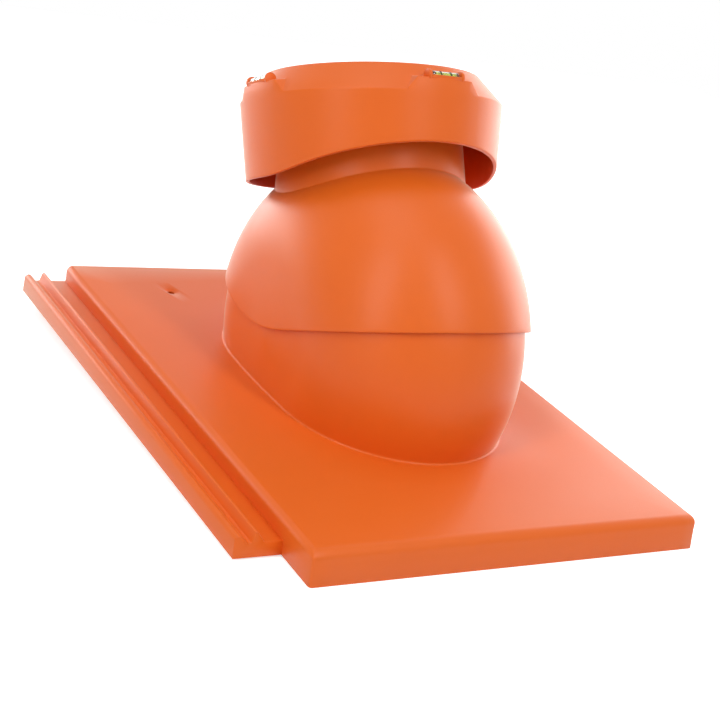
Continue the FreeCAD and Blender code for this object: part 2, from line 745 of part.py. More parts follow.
def vial(name, turned):
    # A sealed tube of level liquid with a bubble, a plug in each end and two marks.
    half = "vialLength / 2"
    bore = "vialRadius - vialWall"
    at = VIAL_AT
    tube = cut("vial_%s_tube" % name,
               beam("vial_%s_glass" % name, "vialRadius", "-" + half, half, at, turned),
               beam("vial_%s_bore" % name, bore, "-" + half, half, at, turned))
    wet = half + " - vialPlug"
    lift = (at[0], at[1], "(%s) + %s - bubbleRadius" % (at[2], bore))
    tip = "bubbleLength / 2 - bubbleRadius"
    bubble = [beam("vial_%s_bubble" % name, "bubbleRadius", "-(%s)" % tip, tip, lift, turned)]
    spin = FreeCAD.Placement(V(), FreeCAD.Rotation(V(0, 0, 1), turned))
    for i, side in enumerate("-+", start=1):
        ball = bind(feature("Sphere", "vial_%s_bubble_end_%d" % (name, i)), Radius="bubbleRadius")
        ball.Placement = spin.multiply(FreeCAD.Placement(
            V(value("%s(%s)" % (side, tip)), value(lift[1]), value(lift[2])), FreeCAD.Rotation()))
        bubble.append(ball)
    pieces = [tube, cut("vial_%s_liquid" % name,
                        beam("vial_%s_column" % name, bore, "-(%s)" % wet, wet, at, turned),
                        fuse("vial_%s_air" % name, *bubble))]
    for i, (start, end) in enumerate((("-" + half, "-(%s)" % wet), (wet, half)), start=1):
        pieces.append(beam("vial_%s_plug_%d" % (name, i), bore, start, end, at, turned))
    for i, side in enumerate("-+", start=1):
        span = ["%smarkSpacing / 2 %s markWidth / 2" % (side, edge) for edge in "-+"]
        pieces.append(cut("vial_%s_mark_%d" % (name, i),
                          beam("vial_%s_ring_%d" % (name, i), "vialRadius + markHeight", *span, at, turned),
                          beam("vial_%s_core_%d" % (name, i), "vialRadius", *span, at, turned)))
    return pieces


# The nodes, each under its own label, and where they stand on the tile.
tile_nodes = [base_tile()]
hood_nodes = [hood(), vent_pipe(), clamp_saddle(), lock_ring(), cap()]
for name, turned in VIALS.items():
    hood_nodes += vial(name, turned)
doc.recompute()

datum = V(-value("coverWidth / 2"), -value(SEAT_LINE), 0)
lean = FreeCAD.Rotation(V(-1, 0, 0), value("pitch"))
for node in tile_nodes:
    node.Placement = FreeCAD.Placement(datum, FreeCAD.Rotation())
for node in hood_nodes:
    own = node.Placement
    node.Placement = FreeCAD.Placement(datum + V(*[value(t) for t in PIVOT]), lean).multiply(own)
doc.recompute()

nodes = tile_nodes + hood_nodes
for item in doc.Objects:
    for fault in ("Invalid", "Error"):
        if fault in item.State:
            raise RuntimeError("%s is %s" % (item.Name, fault))
for node in nodes:
    node.Label = node.Name
    if node.Shape.isNull() or not node.Shape.isValid() or len(node.Shape.Solids) != 1:
        raise RuntimeError("%s has no sound solid" % node.Label)

os.makedirs("parts", exist_ok=True)
for node in nodes:
    node.Shape.exportStep("parts/%s.step" % node.Label)
    size = node.Shape.BoundBox
    print("%-20s %10.0f mm3  %6.1f x %6.1f x %6.1f" % (
        node.Label, node.Shape.Volume, size.XLength, size.YLength, size.ZLength))
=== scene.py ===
import json
from math import asin, atan2, copysign, cos, degrees, hypot, pi, radians, sin, sqrt, tan
import bmesh
import bpy
from mathutils import Matrix, Vector


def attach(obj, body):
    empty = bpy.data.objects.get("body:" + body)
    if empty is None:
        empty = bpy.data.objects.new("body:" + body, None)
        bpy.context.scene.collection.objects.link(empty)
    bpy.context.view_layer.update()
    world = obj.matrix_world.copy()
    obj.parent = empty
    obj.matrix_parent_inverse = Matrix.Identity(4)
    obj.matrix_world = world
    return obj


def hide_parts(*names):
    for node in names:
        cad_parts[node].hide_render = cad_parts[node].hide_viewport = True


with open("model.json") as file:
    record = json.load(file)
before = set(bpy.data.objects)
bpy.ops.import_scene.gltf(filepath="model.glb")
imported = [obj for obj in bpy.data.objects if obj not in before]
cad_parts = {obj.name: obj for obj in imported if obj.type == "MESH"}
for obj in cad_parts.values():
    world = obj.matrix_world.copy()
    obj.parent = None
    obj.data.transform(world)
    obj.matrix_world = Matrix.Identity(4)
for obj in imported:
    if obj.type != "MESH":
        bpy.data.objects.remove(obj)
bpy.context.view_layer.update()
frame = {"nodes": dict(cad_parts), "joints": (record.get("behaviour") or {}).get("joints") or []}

print("frame loaded:", len(frame["nodes"]), "nodes")

mm = 0.001
mergeWithin = 1e-6  # metres
facets = 48  # round small pieces

# Edge roundings in mm, and the least angle of an edge in degrees where it isn't the usual one.
rounded = {"tile": 0.5, "tileAngle": 34, "ribs": 0.4, "hood": 0.6, "cap": 0.5, "capAngle": 25, "cradle": 0.25,
           "pipe": 0.3, "ring": 0.35}

# The barrels of foot and hood: a round crest between leaning flanks, turned about the pivot axis.
barrel = {
    "radius": 82.8,
    "offset": 46.4,
    "lean": 3.9,
    "wall": 3.0,
    "gap": 1.0,
    "pitch": 24.0,
}
flankLean = radians(barrel["lean"])
crest = barrel["radius"] + barrel["offset"]
pivot = Vector(frame["joints"][0]["pos_m"]) / mm
hoodAxes = Matrix.Translation(pivot) @ Matrix.Rotation(radians(-barrel["pitch"]), 4, "X")
hoodMetres = Matrix.Translation(pivot * mm) @ Matrix.Rotation(radians(-barrel["pitch"]), 4, "X")


def barrelReach(way, radius):
    # Distance from the pivot to the barrel along a unit direction.
    swing = hypot(way.y, way.z)
    offset = barrel["offset"]
    inner = radius ** 2 - (offset * way.x) ** 2
    if inner >= 0:
        reach = swing * offset + sqrt(inner)
        if reach * swing >= offset + radius * sin(flankLean):
            return reach
    return (radius + offset * sin(flankLean)) / (abs(way.x) * cos(flankLean) + swing * sin(flankLean))


def barrelNormal(point):
    swing = max(hypot(point.y, point.z), 1e-9)
    turn = max(atan2(swing - barrel["offset"], abs(point.x)), flankLean)
    rise = sin(turn) / swing
    return Vector((copysign(cos(turn), point.x), point.y * rise, point.z * rise))


def solve(function, low, high):
    # Where the function changes sign; low and high lie on either side of it.
    sign = function(low) > 0
    for _ in range(48):
        middle = (low + high) / 2
        if (function(middle) > 0) == sign:
            low = middle
        else:
            high = middle
    return (low + high) / 2


def mix(a, b, t):
    return a + (b - a) * t


def ringFaces(rings, count, loop=False):
    faces = []
    total = len(rings)
    for r in range(total if loop else total - 1):
        a, b = r * count, (r + 1) % total * count
        for k in range(count):
            n = (k + 1) % count
            faces.append((a + k, a + n, b + n, b + k))
    return faces


def meshFrom(points, faces, matrix=None):
    # A bmesh in metres, from points in millimetres, with doubles merged and faces outwards.
    work = bmesh.new()
    place = matrix or Matrix.Identity(4)
    corners = [work.verts.new((place @ Vector(p)) * mm) for p in points]
    for face in faces:
        if len(set(face)) == len(face):
            work.faces.new([corners[i] for i in face])
    bmesh.ops.remove_doubles(work, verts=work.verts, dist=mergeWithin)
    bmesh.ops.dissolve_degenerate(work, edges=work.edges, dist=1e-7)
    bmesh.ops.recalc_face_normals(work, faces=work.faces)
    return work


def linked(name, data):
    item = bpy.data.objects.new(name, data)
    bpy.context.scene.collection.objects.link(item)
    return item


def objectFrom(name, work):
    mesh = bpy.data.meshes.new(name)
    work.to_mesh(mesh)
    work.free()
    return linked(name, mesh)


def applied(item):
    # Turns what the modifiers make into the object's plain mesh.
    graph = bpy.context.evaluated_depsgraph_get()
    mesh = bpy.data.meshes.new_from_object(item.evaluated_get(graph))
    item.modifiers.clear()
    item.data = mesh
    return item


def joined(name, items):
    work = bmesh.new()
    for item in items:
        work.from_mesh(item.data)
        bpy.data.objects.remove(item)
    return objectFrom(name, work)


def softened(item, width, angle=30, segments=2):
    # Rounds every edge sharper than the angle and shades the rest smooth.
    bevel = item.modifiers.new("edges", "BEVEL")
    bevel.width = width * mm
    bevel.segments = segments
    bevel.limit_method = "ANGLE"
    bevel.angle_limit = radians(angle)
    bevel.miter_outer = "MITER_ARC"
    applied(item)
    return smooth(item)


def smooth(item, angle=38):
    work = bmesh.new()
    work.from_mesh(item.data)
    for face in work.faces:
        face.smooth = True
    for edge in work.edges:
        edge.smooth = not edge.is_manifold or edge.calc_face_angle(0) < radians(angle)
    work.to_mesh(item.data)
    work.free()
    return item


def cutAway(item, tools):
    for tool in tools:
        cutter = item.modifiers.new("cut", "BOOLEAN")
        cutter.operation = "DIFFERENCE"
        cutter.solver = "EXACT"
        cutter.object = tool
    bpy.context.view_layer.update()
    applied(item)
    for tool in tools:
        bpy.data.objects.remove(tool)
    return item


def box(name, low, high, matrix=None):
    points = [(x, y, z) for x in (low[0], high[0]) for y in (low[1], high[1]) for z in (low[2], high[2])]
    faces = [(0, 1, 3, 2), (4, 6, 7, 5), (0, 4, 5, 1), (2, 3, 7, 6), (0, 2, 6, 4), (1, 5, 7, 3)]
    return objectFrom(name, meshFrom(points, faces, matrix))


def lathe(name, profile, count, matrix=None, closed=True):
    # Turns a profile of (radius, height) about Z. A closed profile is a ring, otherwise a
    # profile that starts and ends on the axis is a solid.
    turns = [2 * pi * k / count for k in range(count)]
    points = [(radius * cos(turn), radius * sin(turn), height)
              for radius, height in profile for turn in turns]
    return objectFrom(name, meshFrom(points, ringFaces(profile, count, loop=closed), matrix))


def prism(name, near, far, matrix=None):
    # A solid between two outlines with as many corners.
    count = len(near)
    faces = ringFaces([near, far], count) + [tuple(range(count)), tuple(range(count, 2 * count))]
    return objectFrom(name, meshFrom(near + far, faces, matrix))


def pointsIn(rings):
    return [point for ring in rings for point in ring]


def rowsBetween(pointAt, starts, ends, rows):
    # Rings of points between two angles given for each column.
    return [[pointAt(k, mix(a, b, r / rows)) for k, (a, b) in enumerate(zip(starts, ends))]
            for r in range(rows + 1)]


def risingEdge(ahead, level, arcRadius, slope):
    # Height of an edge that is level, then rises along an arc into a straight slope.
    rise = radians(slope)
    knee = arcRadius * sin(rise)
    if ahead <= 0:
        return level
    if ahead < knee:
        return level + arcRadius - sqrt(arcRadius ** 2 - ahead ** 2)
    return level + arcRadius * (1 - cos(rise)) + (ahead - knee) * tan(rise)


def finished(item, material, body, slot, *nodes):
    # One material all over, then the body it rides on and the CAD node it stands for.
    item.data.materials.clear()
    item.data.materials.append(material)
    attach(item, body)
    if nodes:
        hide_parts(*nodes)
    return item


def wire(tree, *links):
    # Each link is a node and its output, or a socket alone, then a node and its input.
    for *start, node, entry in links:
        socket = start[0].outputs[start[1]] if len(start) == 2 else start[0]
        tree.links.new(socket, node.inputs[entry])


def setInputs(node, values):
    for name, value in values.items():
        node.inputs[name].default_value = value


def addNode(tree, kind, **values):
    # A node by its type's name, with the settings given.
    node = tree.nodes.new(kind)
    for name, value in values.items():
        setattr(node, name, value)
    return node


def newTree(name, treeKind, inputs, outputs):
    # An empty node tree with its sockets, given as names and kinds.
    tree = bpy.data.node_groups.new(name, treeKind)
    for way, sockets in (("INPUT", inputs), ("OUTPUT", outputs)):
        for socket, kind in sockets.items():
            tree.interface.new_socket(socket, in_out=way, socket_type="NodeSocket" + kind)
    return tree, tree.nodes.new("NodeGroupInput"), tree.nodes.new("NodeGroupOutput")


def shapeTree(name, sizes):
    # A Geometry Nodes tree that takes a geometry, a material and named sizes.
    inputs = {"Geometry": "Geometry", "Material": "Material", **sizes}
    return newTree(name, "GeometryNodeTree", inputs, {"Geometry": "Geometry"})


def endTree(tree, entry, leave, shape):
    real = tree.nodes.new("GeometryNodeRealizeInstances")
    paint = tree.nodes.new("GeometryNodeSetMaterial")
    wire(tree, (shape, real, "Geometry"), (real, "Geometry", paint, "Geometry"),
         (entry, "Material", paint, "Material"), (paint, "Geometry", leave, "Geometry"))
    return tree


def mathNode(tree, operation, a, b=None):
    node = addNode(tree, "ShaderNodeMath", operation=operation)
    for socket, thing in zip(node.inputs, (a, b)):
        if isinstance(thing, (int, float)):
            socket.default_value = thing
        elif thing is not None:
            tree.links.new(thing, socket)
    return node.outputs[0]


def runTree(item, tree, material, **sizes):
    # Gives the tree its inputs by identifier, runs it and keeps the plain mesh.
    run = item.modifiers.new(tree.name, "NODES")
    run.node_group = tree
    values = dict(sizes, Material=material)
    for socket in tree.interface.items_tree:
        if socket.in_out == "INPUT" and socket.name in values:
            run[socket.identifier] = values[socket.name]
    bpy.context.view_layer.update()
    return applied(item)


def axisTree():
    # Copies of a piece at even turns round the Z axis.
    tree, entry, leave = shapeTree("evenTurns", {"Count": "Int", "First": "Float"})
    points = tree.nodes.new("GeometryNodePoints")
    spread = tree.nodes.new("GeometryNodeInstanceOnPoints")
    index = tree.nodes.new("GeometryNodeInputIndex")
    turn = tree.nodes.new("ShaderNodeCombineXYZ")
    share = mathNode(tree, "DIVIDE", index.outputs[0], entry.outputs["Count"])
    angle = mathNode(tree, "ADD", mathNode(tree, "MULTIPLY", share, 2 * pi), entry.outputs["First"])
    wire(tree, (angle, turn, "Z"), (entry, "Count", points, "Count"), (points, 0, spread, "Points"),
         (entry, "Geometry", spread, "Instance"), (turn, "Vector", spread, "Rotation"))
    return endTree(tree, entry, leave, spread.outputs["Instances"])


evenTurns = axisTree()


def aroundAxis(item, count, first):
    # Copies round the pipe's axis, set down on the hood's axes.
    runTree(item, evenTurns, orange, Count=count, First=radians(first))
    item.data.transform(hoodMetres)
    return item


# Cover tile with the foot moulded on it.
tile = {
    "coverWidth": 300.0,
    "length": 420.0,
    "height": 21.5,
    "wall": 3.0,
    "frontDraft": 12.0,
    "frontRounding": 7.0,
    "leftRounding": 5.0,
    "rightRounding": 3.5,
    "cornerRounding": 2.0,
    "footFillet": 1.5,
    "skirtBottom": 3.0,
    "battenSeat": 362.0,
    "slotHalf": 52.0,
    "pitchMin": 20.0,
    "pitchMax": 45.0,
    "columns": 256,
    "footRows": 40,
    "filletSteps": 5,
    "filletClear": 1.15,
    "coverRows": (0.35, 0.7),
    "roundingSteps": 12,
}
tileCorner = Vector((-tile["coverWidth"] / 2, -tile["battenSeat"], 0))
onTile = Matrix.Translation(tileCorner)
pivotOnTile = pivot - tileCorner


def frontAt(height, inset=0.0):
    draft = radians(tile["frontDraft"])
    return height * tan(draft) + inset / cos(draft)


def borderAt(height, inset=0.0):
    # Left, right, front and back of the tile's outline at a height, from its rounded section.
    top = tile["height"] - inset

    def roundingAt(radius):
        over = height - (top - radius)
        return radius - sqrt(max(radius ** 2 - over ** 2, 0)) if over > 0 else 0.0

    draft = radians(tile["frontDraft"])
    radius = tile["frontRounding"] - inset
    reach = radius * tan(radians(45) - draft / 2)
    centreY = frontAt(top, inset) + reach
    centreZ = top - radius
    if height > top - reach * cos(draft):
        front = centreY - sqrt(max(radius ** 2 - (height - centreZ) ** 2, 0))
    else:
        front = frontAt(height, inset)
    left = inset + roundingAt(tile["leftRounding"] - inset)
    right = tile["coverWidth"] - inset - roundingAt(tile["rightRounding"] - inset)
    return left, right, front, tile["length"] - inset


def slotDepth(point):
    # Below zero inside the pipe's slot, from its lean for the least pitch to the most.
    lean = degrees(atan2(point.y, point.z))
    over = max(lean - tile["pitchMax"], tile["pitchMin"] - lean, 0)
    along = hypot(point.y, point.z) * sin(radians(min(over, 90)))
    return hypot(point.x, along) - tile["slotHalf"]


def footPoint(column, polar, radius):
    # A point of the barrel, from the pivot: columns run round the middle of the slot.
    turn = 2 * pi * column / tile["columns"]
    way = Vector((sin(polar) * sin(turn), -sin(polar) * cos(turn), cos(polar)))
    middle = radians(tile["pitchMin"] + tile["pitchMax"]) / 2
    way = Matrix.Rotation(-middle, 3, "X") @ way
    return way * barrelReach(way, radius)


def footPolar(column, radius, height):
    # Where the barrel passes a height above the tile's underside.
    drop = height - pivotOnTile.z
    return solve(lambda polar: footPoint(column, polar, radius).z - drop, radians(60), radians(170))


def footRing(radius, height):
    # The barrel's outline at a height of the tile, seen from the pivot.
    return [footPoint(k, footPolar(k, radius, height), radius) for k in range(tile["columns"])]


def slotPolars(radius):
    # Where the barrel meets the slot.
    return [solve(lambda polar: slotDepth(footPoint(k, polar, radius)), 0.05, radians(75))
            for k in range(tile["columns"])]


def columnPlaces(outlinePoints):
    # Where each column meets the tile's outline, as fractions of its width and length.
    left, right, front, back = borderAt(0)
    places = []
    for point in outlinePoints:
        x, y = point.x, point.y
        sx = (right - pivotOnTile.x if x > 0 else pivotOnTile.x - left) / max(abs(x), 1e-9)
        sy = (back - pivotOnTile.y if y > 0 else pivotOnTile.y - front) / max(abs(y), 1e-9)
        s = min(sx, sy)
        places.append([(pivotOnTile.x + x * s - left) / (right - left),
                       (pivotOnTile.y + y * s - front) / (back - front), None])
    count = len(places)
    for u in (0, 1):
        for v in (0, 1):
            nearest = min(range(count), key=lambda k: hypot(
                (places[k][0] - u) * (right - left), (places[k][1] - v) * (back - front)))
            before = places[nearest - 1]
            onSide = abs(before[0] - u) < 1e-6
            for step in (-1, 0, 1):
                share = (1 - step) / 2 if onSide else (1 + step) / 2
                places[(nearest + step) % count] = [u, v, share]
    return places


def borderRing(places, height, inset=0.0, rounding=0.0):
    left, right, front, back = borderAt(height, inset)
    ring = []
    for u, v, share in places:
        x, y = mix(left, right, u), mix(front, back, v)
        if share is not None:
            angle = share * pi / 2
            x += rounding * (1 - sin(angle)) * (1 if u == 0 else -1)
            y += rounding * (1 - cos(angle)) * (1 if v == 0 else -1)
        ring.append(Vector((x, y, height)))
    return ring


def footFillet(outline):
    # Rings of the fillet along the foot, and the angles where it leaves the barrel.
    radius, steps = tile["footFillet"], tile["filletSteps"]
    rings = [[] for _ in range(steps + 1)]
    wallEnds = []
    for k, point in enumerate(outline):
        normal = barrelNormal(point)
        outward = Vector((normal.x, normal.y, 0)).normalized()
        rise = (Vector((0, 0, 1)) - normal * normal.z).normalized()
        opening = outward.angle(rise)
        reach = radius / tan(opening / 2)
        centre = point + (outward + rise).normalized() * radius / sin(opening / 2)
        first, last = point + rise * reach - centre, point + outward * reach - centre
        spread = first.angle(last)
        for r, ring in enumerate(rings):
            t = r / steps
            spoke = (first * sin((1 - t) * spread) + last * sin(t * spread)) / sin(spread)
            ring.append(centre + spoke + pivotOnTile)
        height = tile["height"] + rise.z * reach * tile["filletClear"]
        wallEnds.append(footPolar(k, barrel["radius"], height))
    return rings, wallEnds


def tileShell():
    top, wall, corner = tile["height"], tile["wall"], tile["cornerRounding"]
    ceiling = top - wall
    outer = barrel["radius"]
    inner = outer - barrel["wall"]
    outline = footRing(outer, top)
    filletRings, wallEnds = footFillet(outline)
    places = columnPlaces(outline)

    rings = rowsBetween(lambda k, polar: footPoint(k, polar, outer) + pivotOnTile,
                        slotPolars(outer), wallEnds, tile["footRows"])
    rings += filletRings
    topRing = borderRing(places, top)
    for t in tile["coverRows"]:
        rings.append([mix(a, b, t) for a, b in zip(filletRings[-1], topRing)])
    for s in range(tile["roundingSteps"] + 1):
        share = s / tile["roundingSteps"]
        angle = mix(pi / 2, -radians(tile["frontDraft"]), share)
        height = top - tile["frontRounding"] * (1 - sin(angle))
        rings.append(borderRing(places, height, rounding=corner * share))
    rings.append(borderRing(places, 0, rounding=corner))
    rings.append(borderRing(places, 0, wall))

    # The hollow underneath, the foot's skirt in it and the foot's inside.
    left, right, _, back = borderAt(0, wall)
    front = frontAt(ceiling, wall)
    inside = [Vector((mix(left, right, u), mix(front, back, v), ceiling)) for u, v, _ in places]
    under = [point + pivotOnTile for point in footRing(outer, ceiling)]
    rings += [inside, [mix(a, b, 0.5) for a, b in zip(inside, under)], under]
    rings.append([point + pivotOnTile for point in footRing(outer, tile["skirtBottom"])])
    innerEnds = [footPolar(k, inner, tile["skirtBottom"]) for k in range(tile["columns"])]
    rings += rowsBetween(lambda k, polar: footPoint(k, polar, inner) + pivotOnTile,
                         innerEnds, slotPolars(inner), tile["footRows"] // 2)
    faces = ringFaces(rings, tile["columns"], loop=True)
    return objectFrom("tileShell", meshFrom(pointsIn(rings), faces, onTile))


interlock = {
    "width": 32.5,
    "setback": 35.5,
    "floor": 8.7,
    "beadFoot": 8.8,
    "beadHeight": 13.7,
    "beadRounding": 3.0,
    "beadTurn": 41.7,
    "ribWidth": 8.5,
    "ribLean": 1.8,
    "ribTop": 2.4,
    "ribRounding": 1.3,
    "ribSteps": 8,
    "beadSteps": 12,
    "ribShoulder": 14.4,
    "channel": 12.2,
    "intoTile": 1.5,
    "lapClearance": 0.8,
    "lapRibWidth": 1.8,
}


def arc(start, end, radius, steps):
    # Points of a left-turning arc between two points, the last one included.
    chord = end - start
    side = Vector((-chord.y, chord.x)).normalized()
    centre = (start + end) / 2 + side * sqrt(max(radius ** 2 - chord.length ** 2 / 4, 0))
    first = atan2(start.y - centre.y, start.x - centre.x)
    last = atan2(end.y - centre.y, end.x - centre.x)
    last += 2 * pi if last < first else 0
    angles = [mix(first, last, s / steps) for s in range(1, steps + 1)]
    return [centre + Vector((cos(angle), sin(angle))) * radius for angle in angles]


def interlockSection():
    # Floor, rib and bead across the left edge, from the outer corner round to the bead's top.
    sizes = interlock
    turn = radians(sizes["beadTurn"])
    floor, shoulder, bead = sizes["floor"], sizes["ribShoulder"], sizes["beadRounding"]
    leftEdge = -sizes["width"]
    ribLeft = -sizes["channel"] - sizes["ribWidth"]
    ribStart = Vector((ribLeft + sizes["ribLean"] + sizes["ribTop"], shoulder))
    ribEnd = Vector((ribLeft + sizes["ribLean"], shoulder))
    beadStart = Vector((leftEdge + bead * (1 + cos(turn)), sizes["beadHeight"] - bead * (1 - sin(turn))))
    beadEnd = Vector((leftEdge, sizes["beadHeight"] - bead))
    points = [Vector(p) for p in ((leftEdge, 0), (sizes["intoTile"], 0), (sizes["intoTile"], floor),
                                  (-sizes["channel"], floor))]
    points += [ribStart] + arc(ribStart, ribEnd, sizes["ribRounding"], sizes["ribSteps"])
    points += [Vector((ribLeft, floor)), Vector((leftEdge + sizes["beadFoot"], floor)), beadStart]
    return points + arc(beadStart, beadEnd, bead, sizes["beadSteps"])


def interlockPiece():
    wall, setback, right = tile["wall"], interlock["setback"], interlock["intoTile"]
    length, left = tile["length"], -interlock["width"]

    def extruded(name, section, inset, end):
        near = [Vector((p.x, setback + frontAt(p.y, inset), p.y)) for p in section]
        return prism(name, near, [Vector((p.x, end, p.y)) for p in section], onTile)

    low, high = -wall, interlock["floor"] - wall
    room = [Vector((x + wall, z)) for x, z in ((left, low), (right, low), (right, high), (left, high))]
    solid = extruded("interlockSolid", interlockSection(), 0, length)
    return cutAway(solid, [extruded("interlockHollow", room, wall, length - wall)])


nails = {
    "spacing": 161.0,
    "line": 374.0,
    "hole": 5.0,
    "dish": 13.0,
    "dishDepth": 1.8,
    "boss": 17.0,
}


def atNail(side):
    x = tile["coverWidth"] / 2 + side * nails["spacing"] / 2
    return onTile @ Matrix.Translation((x, nails["line"], 0))


def nailTools():
    # A drill with a countersunk head for each nail hole.
    top, hole, dish, depth = tile["height"], nails["hole"] / 2, nails["dish"] / 2, nails["dishDepth"]
    lean = (dish - hole) / depth
    profile = [(0, -1), (hole, -1), (hole, top - depth), (dish + lean, top + 1), (0, top + 1)]
    return [lathe("nailTool", profile, facets, atNail(side), closed=False) for side in (-1, 1)]


under = {
    "ribWidth": 2.5,
    "ribInset": 33.0,
    "ribSpacing": 80.0,
    "ribBottom": 3.0,
    "crossRib": 60.0,
    "seatWidth": 5.0,
    "ribToFoot": 2.0,
    "nibFace": 385.0,
    "nibDepth": 12.0,
    "nibThickness": 13.0,
    "nibTip": 0.6,
    "nibChamfer": 1 / 3,
    "nibWidth": 40.0,
    "nibSpacing": 162.0,
}


def ribTree():
    # A box on each point; the point's "ribSize" is the length, width and height of its rib.
    tree, entry, leave = shapeTree("tileRibs", {})
    cube = tree.nodes.new("GeometryNodeMeshCube")
    setInputs(cube, {"Size": (1, 1, 1)})
    size = addNode(tree, "GeometryNodeInputNamedAttribute", data_type="FLOAT_VECTOR")
    setInputs(size, {"Name": "ribSize"})
    spread = tree.nodes.new("GeometryNodeInstanceOnPoints")
    wire(tree, (entry, "Geometry", spread, "Points"), (cube, "Mesh", spread, "Instance"),
         (size, "Attribute", spread, "Scale"))
    return endTree(tree, entry, leave, spread.outputs["Instances"])


def footHalfLength(x, height):
    # Half the foot's length at a distance from its middle, at a height of the tile.
    radius = barrel["radius"]
    if abs(x) >= radius:
        return 0.0
    swing = barrel["offset"] + sqrt(radius ** 2 - x ** 2)
    return sqrt(swing ** 2 - (height - pivotOnTile.z) ** 2)


def ribBoxes():
    # Low and high corner of each rib, on tile axes; the lengthwise ones stop at the foot.
    width, bottom, wide = under["ribWidth"], under["ribBottom"], tile["coverWidth"]
    half = tile["wall"] / 2
    top, near, far = tile["height"] - half, frontAt(tile["height"], half), tile["length"] - half
    lapEdge = wide - interlock["width"] - interlock["lapClearance"] - width
    lapFloor = interlock["floor"] + interlock["lapClearance"]
    boxes = []

    def addBox(x, y, widthX, widthY, low):
        half = Vector((widthX / 2, widthY / 2, 0))
        boxes.append((Vector((x, y, low)) - half, Vector((x, y, top)) + half))

    for x in (under["ribInset"], (wide - under["ribSpacing"]) / 2, (wide + under["ribSpacing"]) / 2, lapEdge):
        reach = footHalfLength(x - pivotOnTile.x, tile["height"]) - under["ribToFoot"]
        spans = [(near, far)] if reach < 0 else [(near, pivotOnTile.y - reach), (pivotOnTile.y + reach, far)]
        for a, b in spans:
            addBox(x, (a + b) / 2, width, b - a, bottom)
    for y, thick, low in ((under["crossRib"], width, bottom), (tile["battenSeat"], under["seatWidth"], 0)):
        addBox((half + lapEdge) / 2, y, lapEdge - half, thick, low)
        addBox((lapEdge + wide - half) / 2, y, wide - half - lapEdge, thick, lapFloor)
    channelLeft = interlock["width"] - interlock["beadFoot"] - interlock["channel"] - interlock["ribWidth"]
    lap = wide - interlock["channel"] - interlock["ribWidth"] - channelLeft / 2
    setback = interlock["setback"]
    addBox(lap, (setback + far) / 2, interlock["lapRibWidth"], far - setback, lapFloor)
    return boxes


def ribs():
    mesh = bpy.data.meshes.new("ribPoints")
    boxes = ribBoxes()
    mesh.from_pydata([((a + b) / 2 + tileCorner) * mm for a, b in boxes], [], [])
    sizes = mesh.attributes.new("ribSize", "FLOAT_VECTOR", "POINT")
    for i, (a, b) in enumerate(boxes):
        sizes.data[i].vector = (b - a) * mm
    return runTree(linked("ribs", mesh), ribTree(), orange)


def nibPiece(side):
    middle = tile["coverWidth"] / 2 + side * under["nibSpacing"] / 2
    face, depth, thick = under["nibFace"], under["nibDepth"], under["nibThickness"]
    half, top = under["nibWidth"] / 2, tile["height"] - tile["wall"] / 2
    profile = [(face, top), (face, -depth), (face + thick * under["nibTip"], -depth),
               (face + thick, -depth * under["nibChamfer"]), (face + thick, top)]
    near, far = ([(x, y, z) for y, z in profile] for x in (middle - half, middle + half))
    return prism("nib", near, far, onTile)


def bossPiece(side):
    top, hole, boss = tile["height"] - tile["wall"] / 2, nails["hole"] / 2, nails["boss"] / 2
    return lathe("nailBoss", [(hole, 0), (boss, 0), (boss, top), (hole, top)], facets, atNail(side))


def tilePiece():
    clearance, wall = interlock["lapClearance"], tile["wall"]
    low = (tile["coverWidth"] - interlock["width"] - clearance, interlock["setback"] - clearance, -wall)
    high = (tile["coverWidth"] + wall, tile["length"] + wall, interlock["floor"] + clearance)
    shell = cutAway(tileShell(), [box("lapCut", low, high, onTile)] + nailTools())
    softened(shell, rounded["tile"], rounded["tileAngle"])
    print("tile shell:", len(shell.data.polygons), "faces")
    edge = softened(interlockPiece(), rounded["tile"], rounded["tileAngle"])
    small = [ribs()]
    for side in (-1, 1):
        small += [nibPiece(side), bossPiece(side)]
    small = [softened(piece, rounded["ribs"]) for piece in small]
    item = smooth(joined("baseTile", [shell, edge] + small))
    return finished(item, orange, "tile", "orange_shell", "base_tile")


# Hood: outer barrel and collar, on the pipe's axes.
hood = {
    "edge": 4.7,
    "edgeStart": -26.6,
    "edgeArc": 137.5,
    "edgeRise": 32.0,
    "collarTop": crest + 15.8,
    "collarTopRadius": 64.9,
    "collarDraft": 4.8,
    "wall": 3.0,
    "shelf": crest + 1.5,
    "seat": crest + 4.5,
    "neckRadius": 51.2,
    "socketRadius": 61.9,
    "columns": 256,
    "rows": 48,
    "collarRows": (0.15, 0.5, 1.0),
}


def collarRadius(level):
    return hood["collarTopRadius"] + (hood["collarTop"] - level) * tan(radians(hood["collarDraft"]))


def hoodEdge(y):
    # The hood's lower edge is level in front and rises behind.
    return risingEdge(y - hood["edgeStart"], hood["edge"], hood["edgeArc"], hood["edgeRise"])


def hoodPoint(column, level, radius):
    turn = 2 * pi * column / hood["columns"]
    way = Vector((cos(level) * sin(turn), -cos(level) * cos(turn), sin(level)))
    return way * barrelReach(way, radius)


def hoodRows(radius, collarInset):
    # Levels of the lower edge and of the collar for each column.
    lows, highs = [], []
    for k in range(hood["columns"]):
        def aboveEdge(level):
            point = hoodPoint(k, level, radius)
            return point.z - hoodEdge(point.y)

        def outsideCollar(level):
            point = hoodPoint(k, level, radius)
            return hypot(point.x, point.y) - (collarRadius(point.z) - collarInset)

        lows.append(solve(aboveEdge, radians(-10), radians(60)))
        highs.append(solve(outsideCollar, radians(30), radians(89)))
    return lows, highs


def aroundPipe(turn, radius, height):
    return Vector((radius * sin(turn), -radius * cos(turn), height))


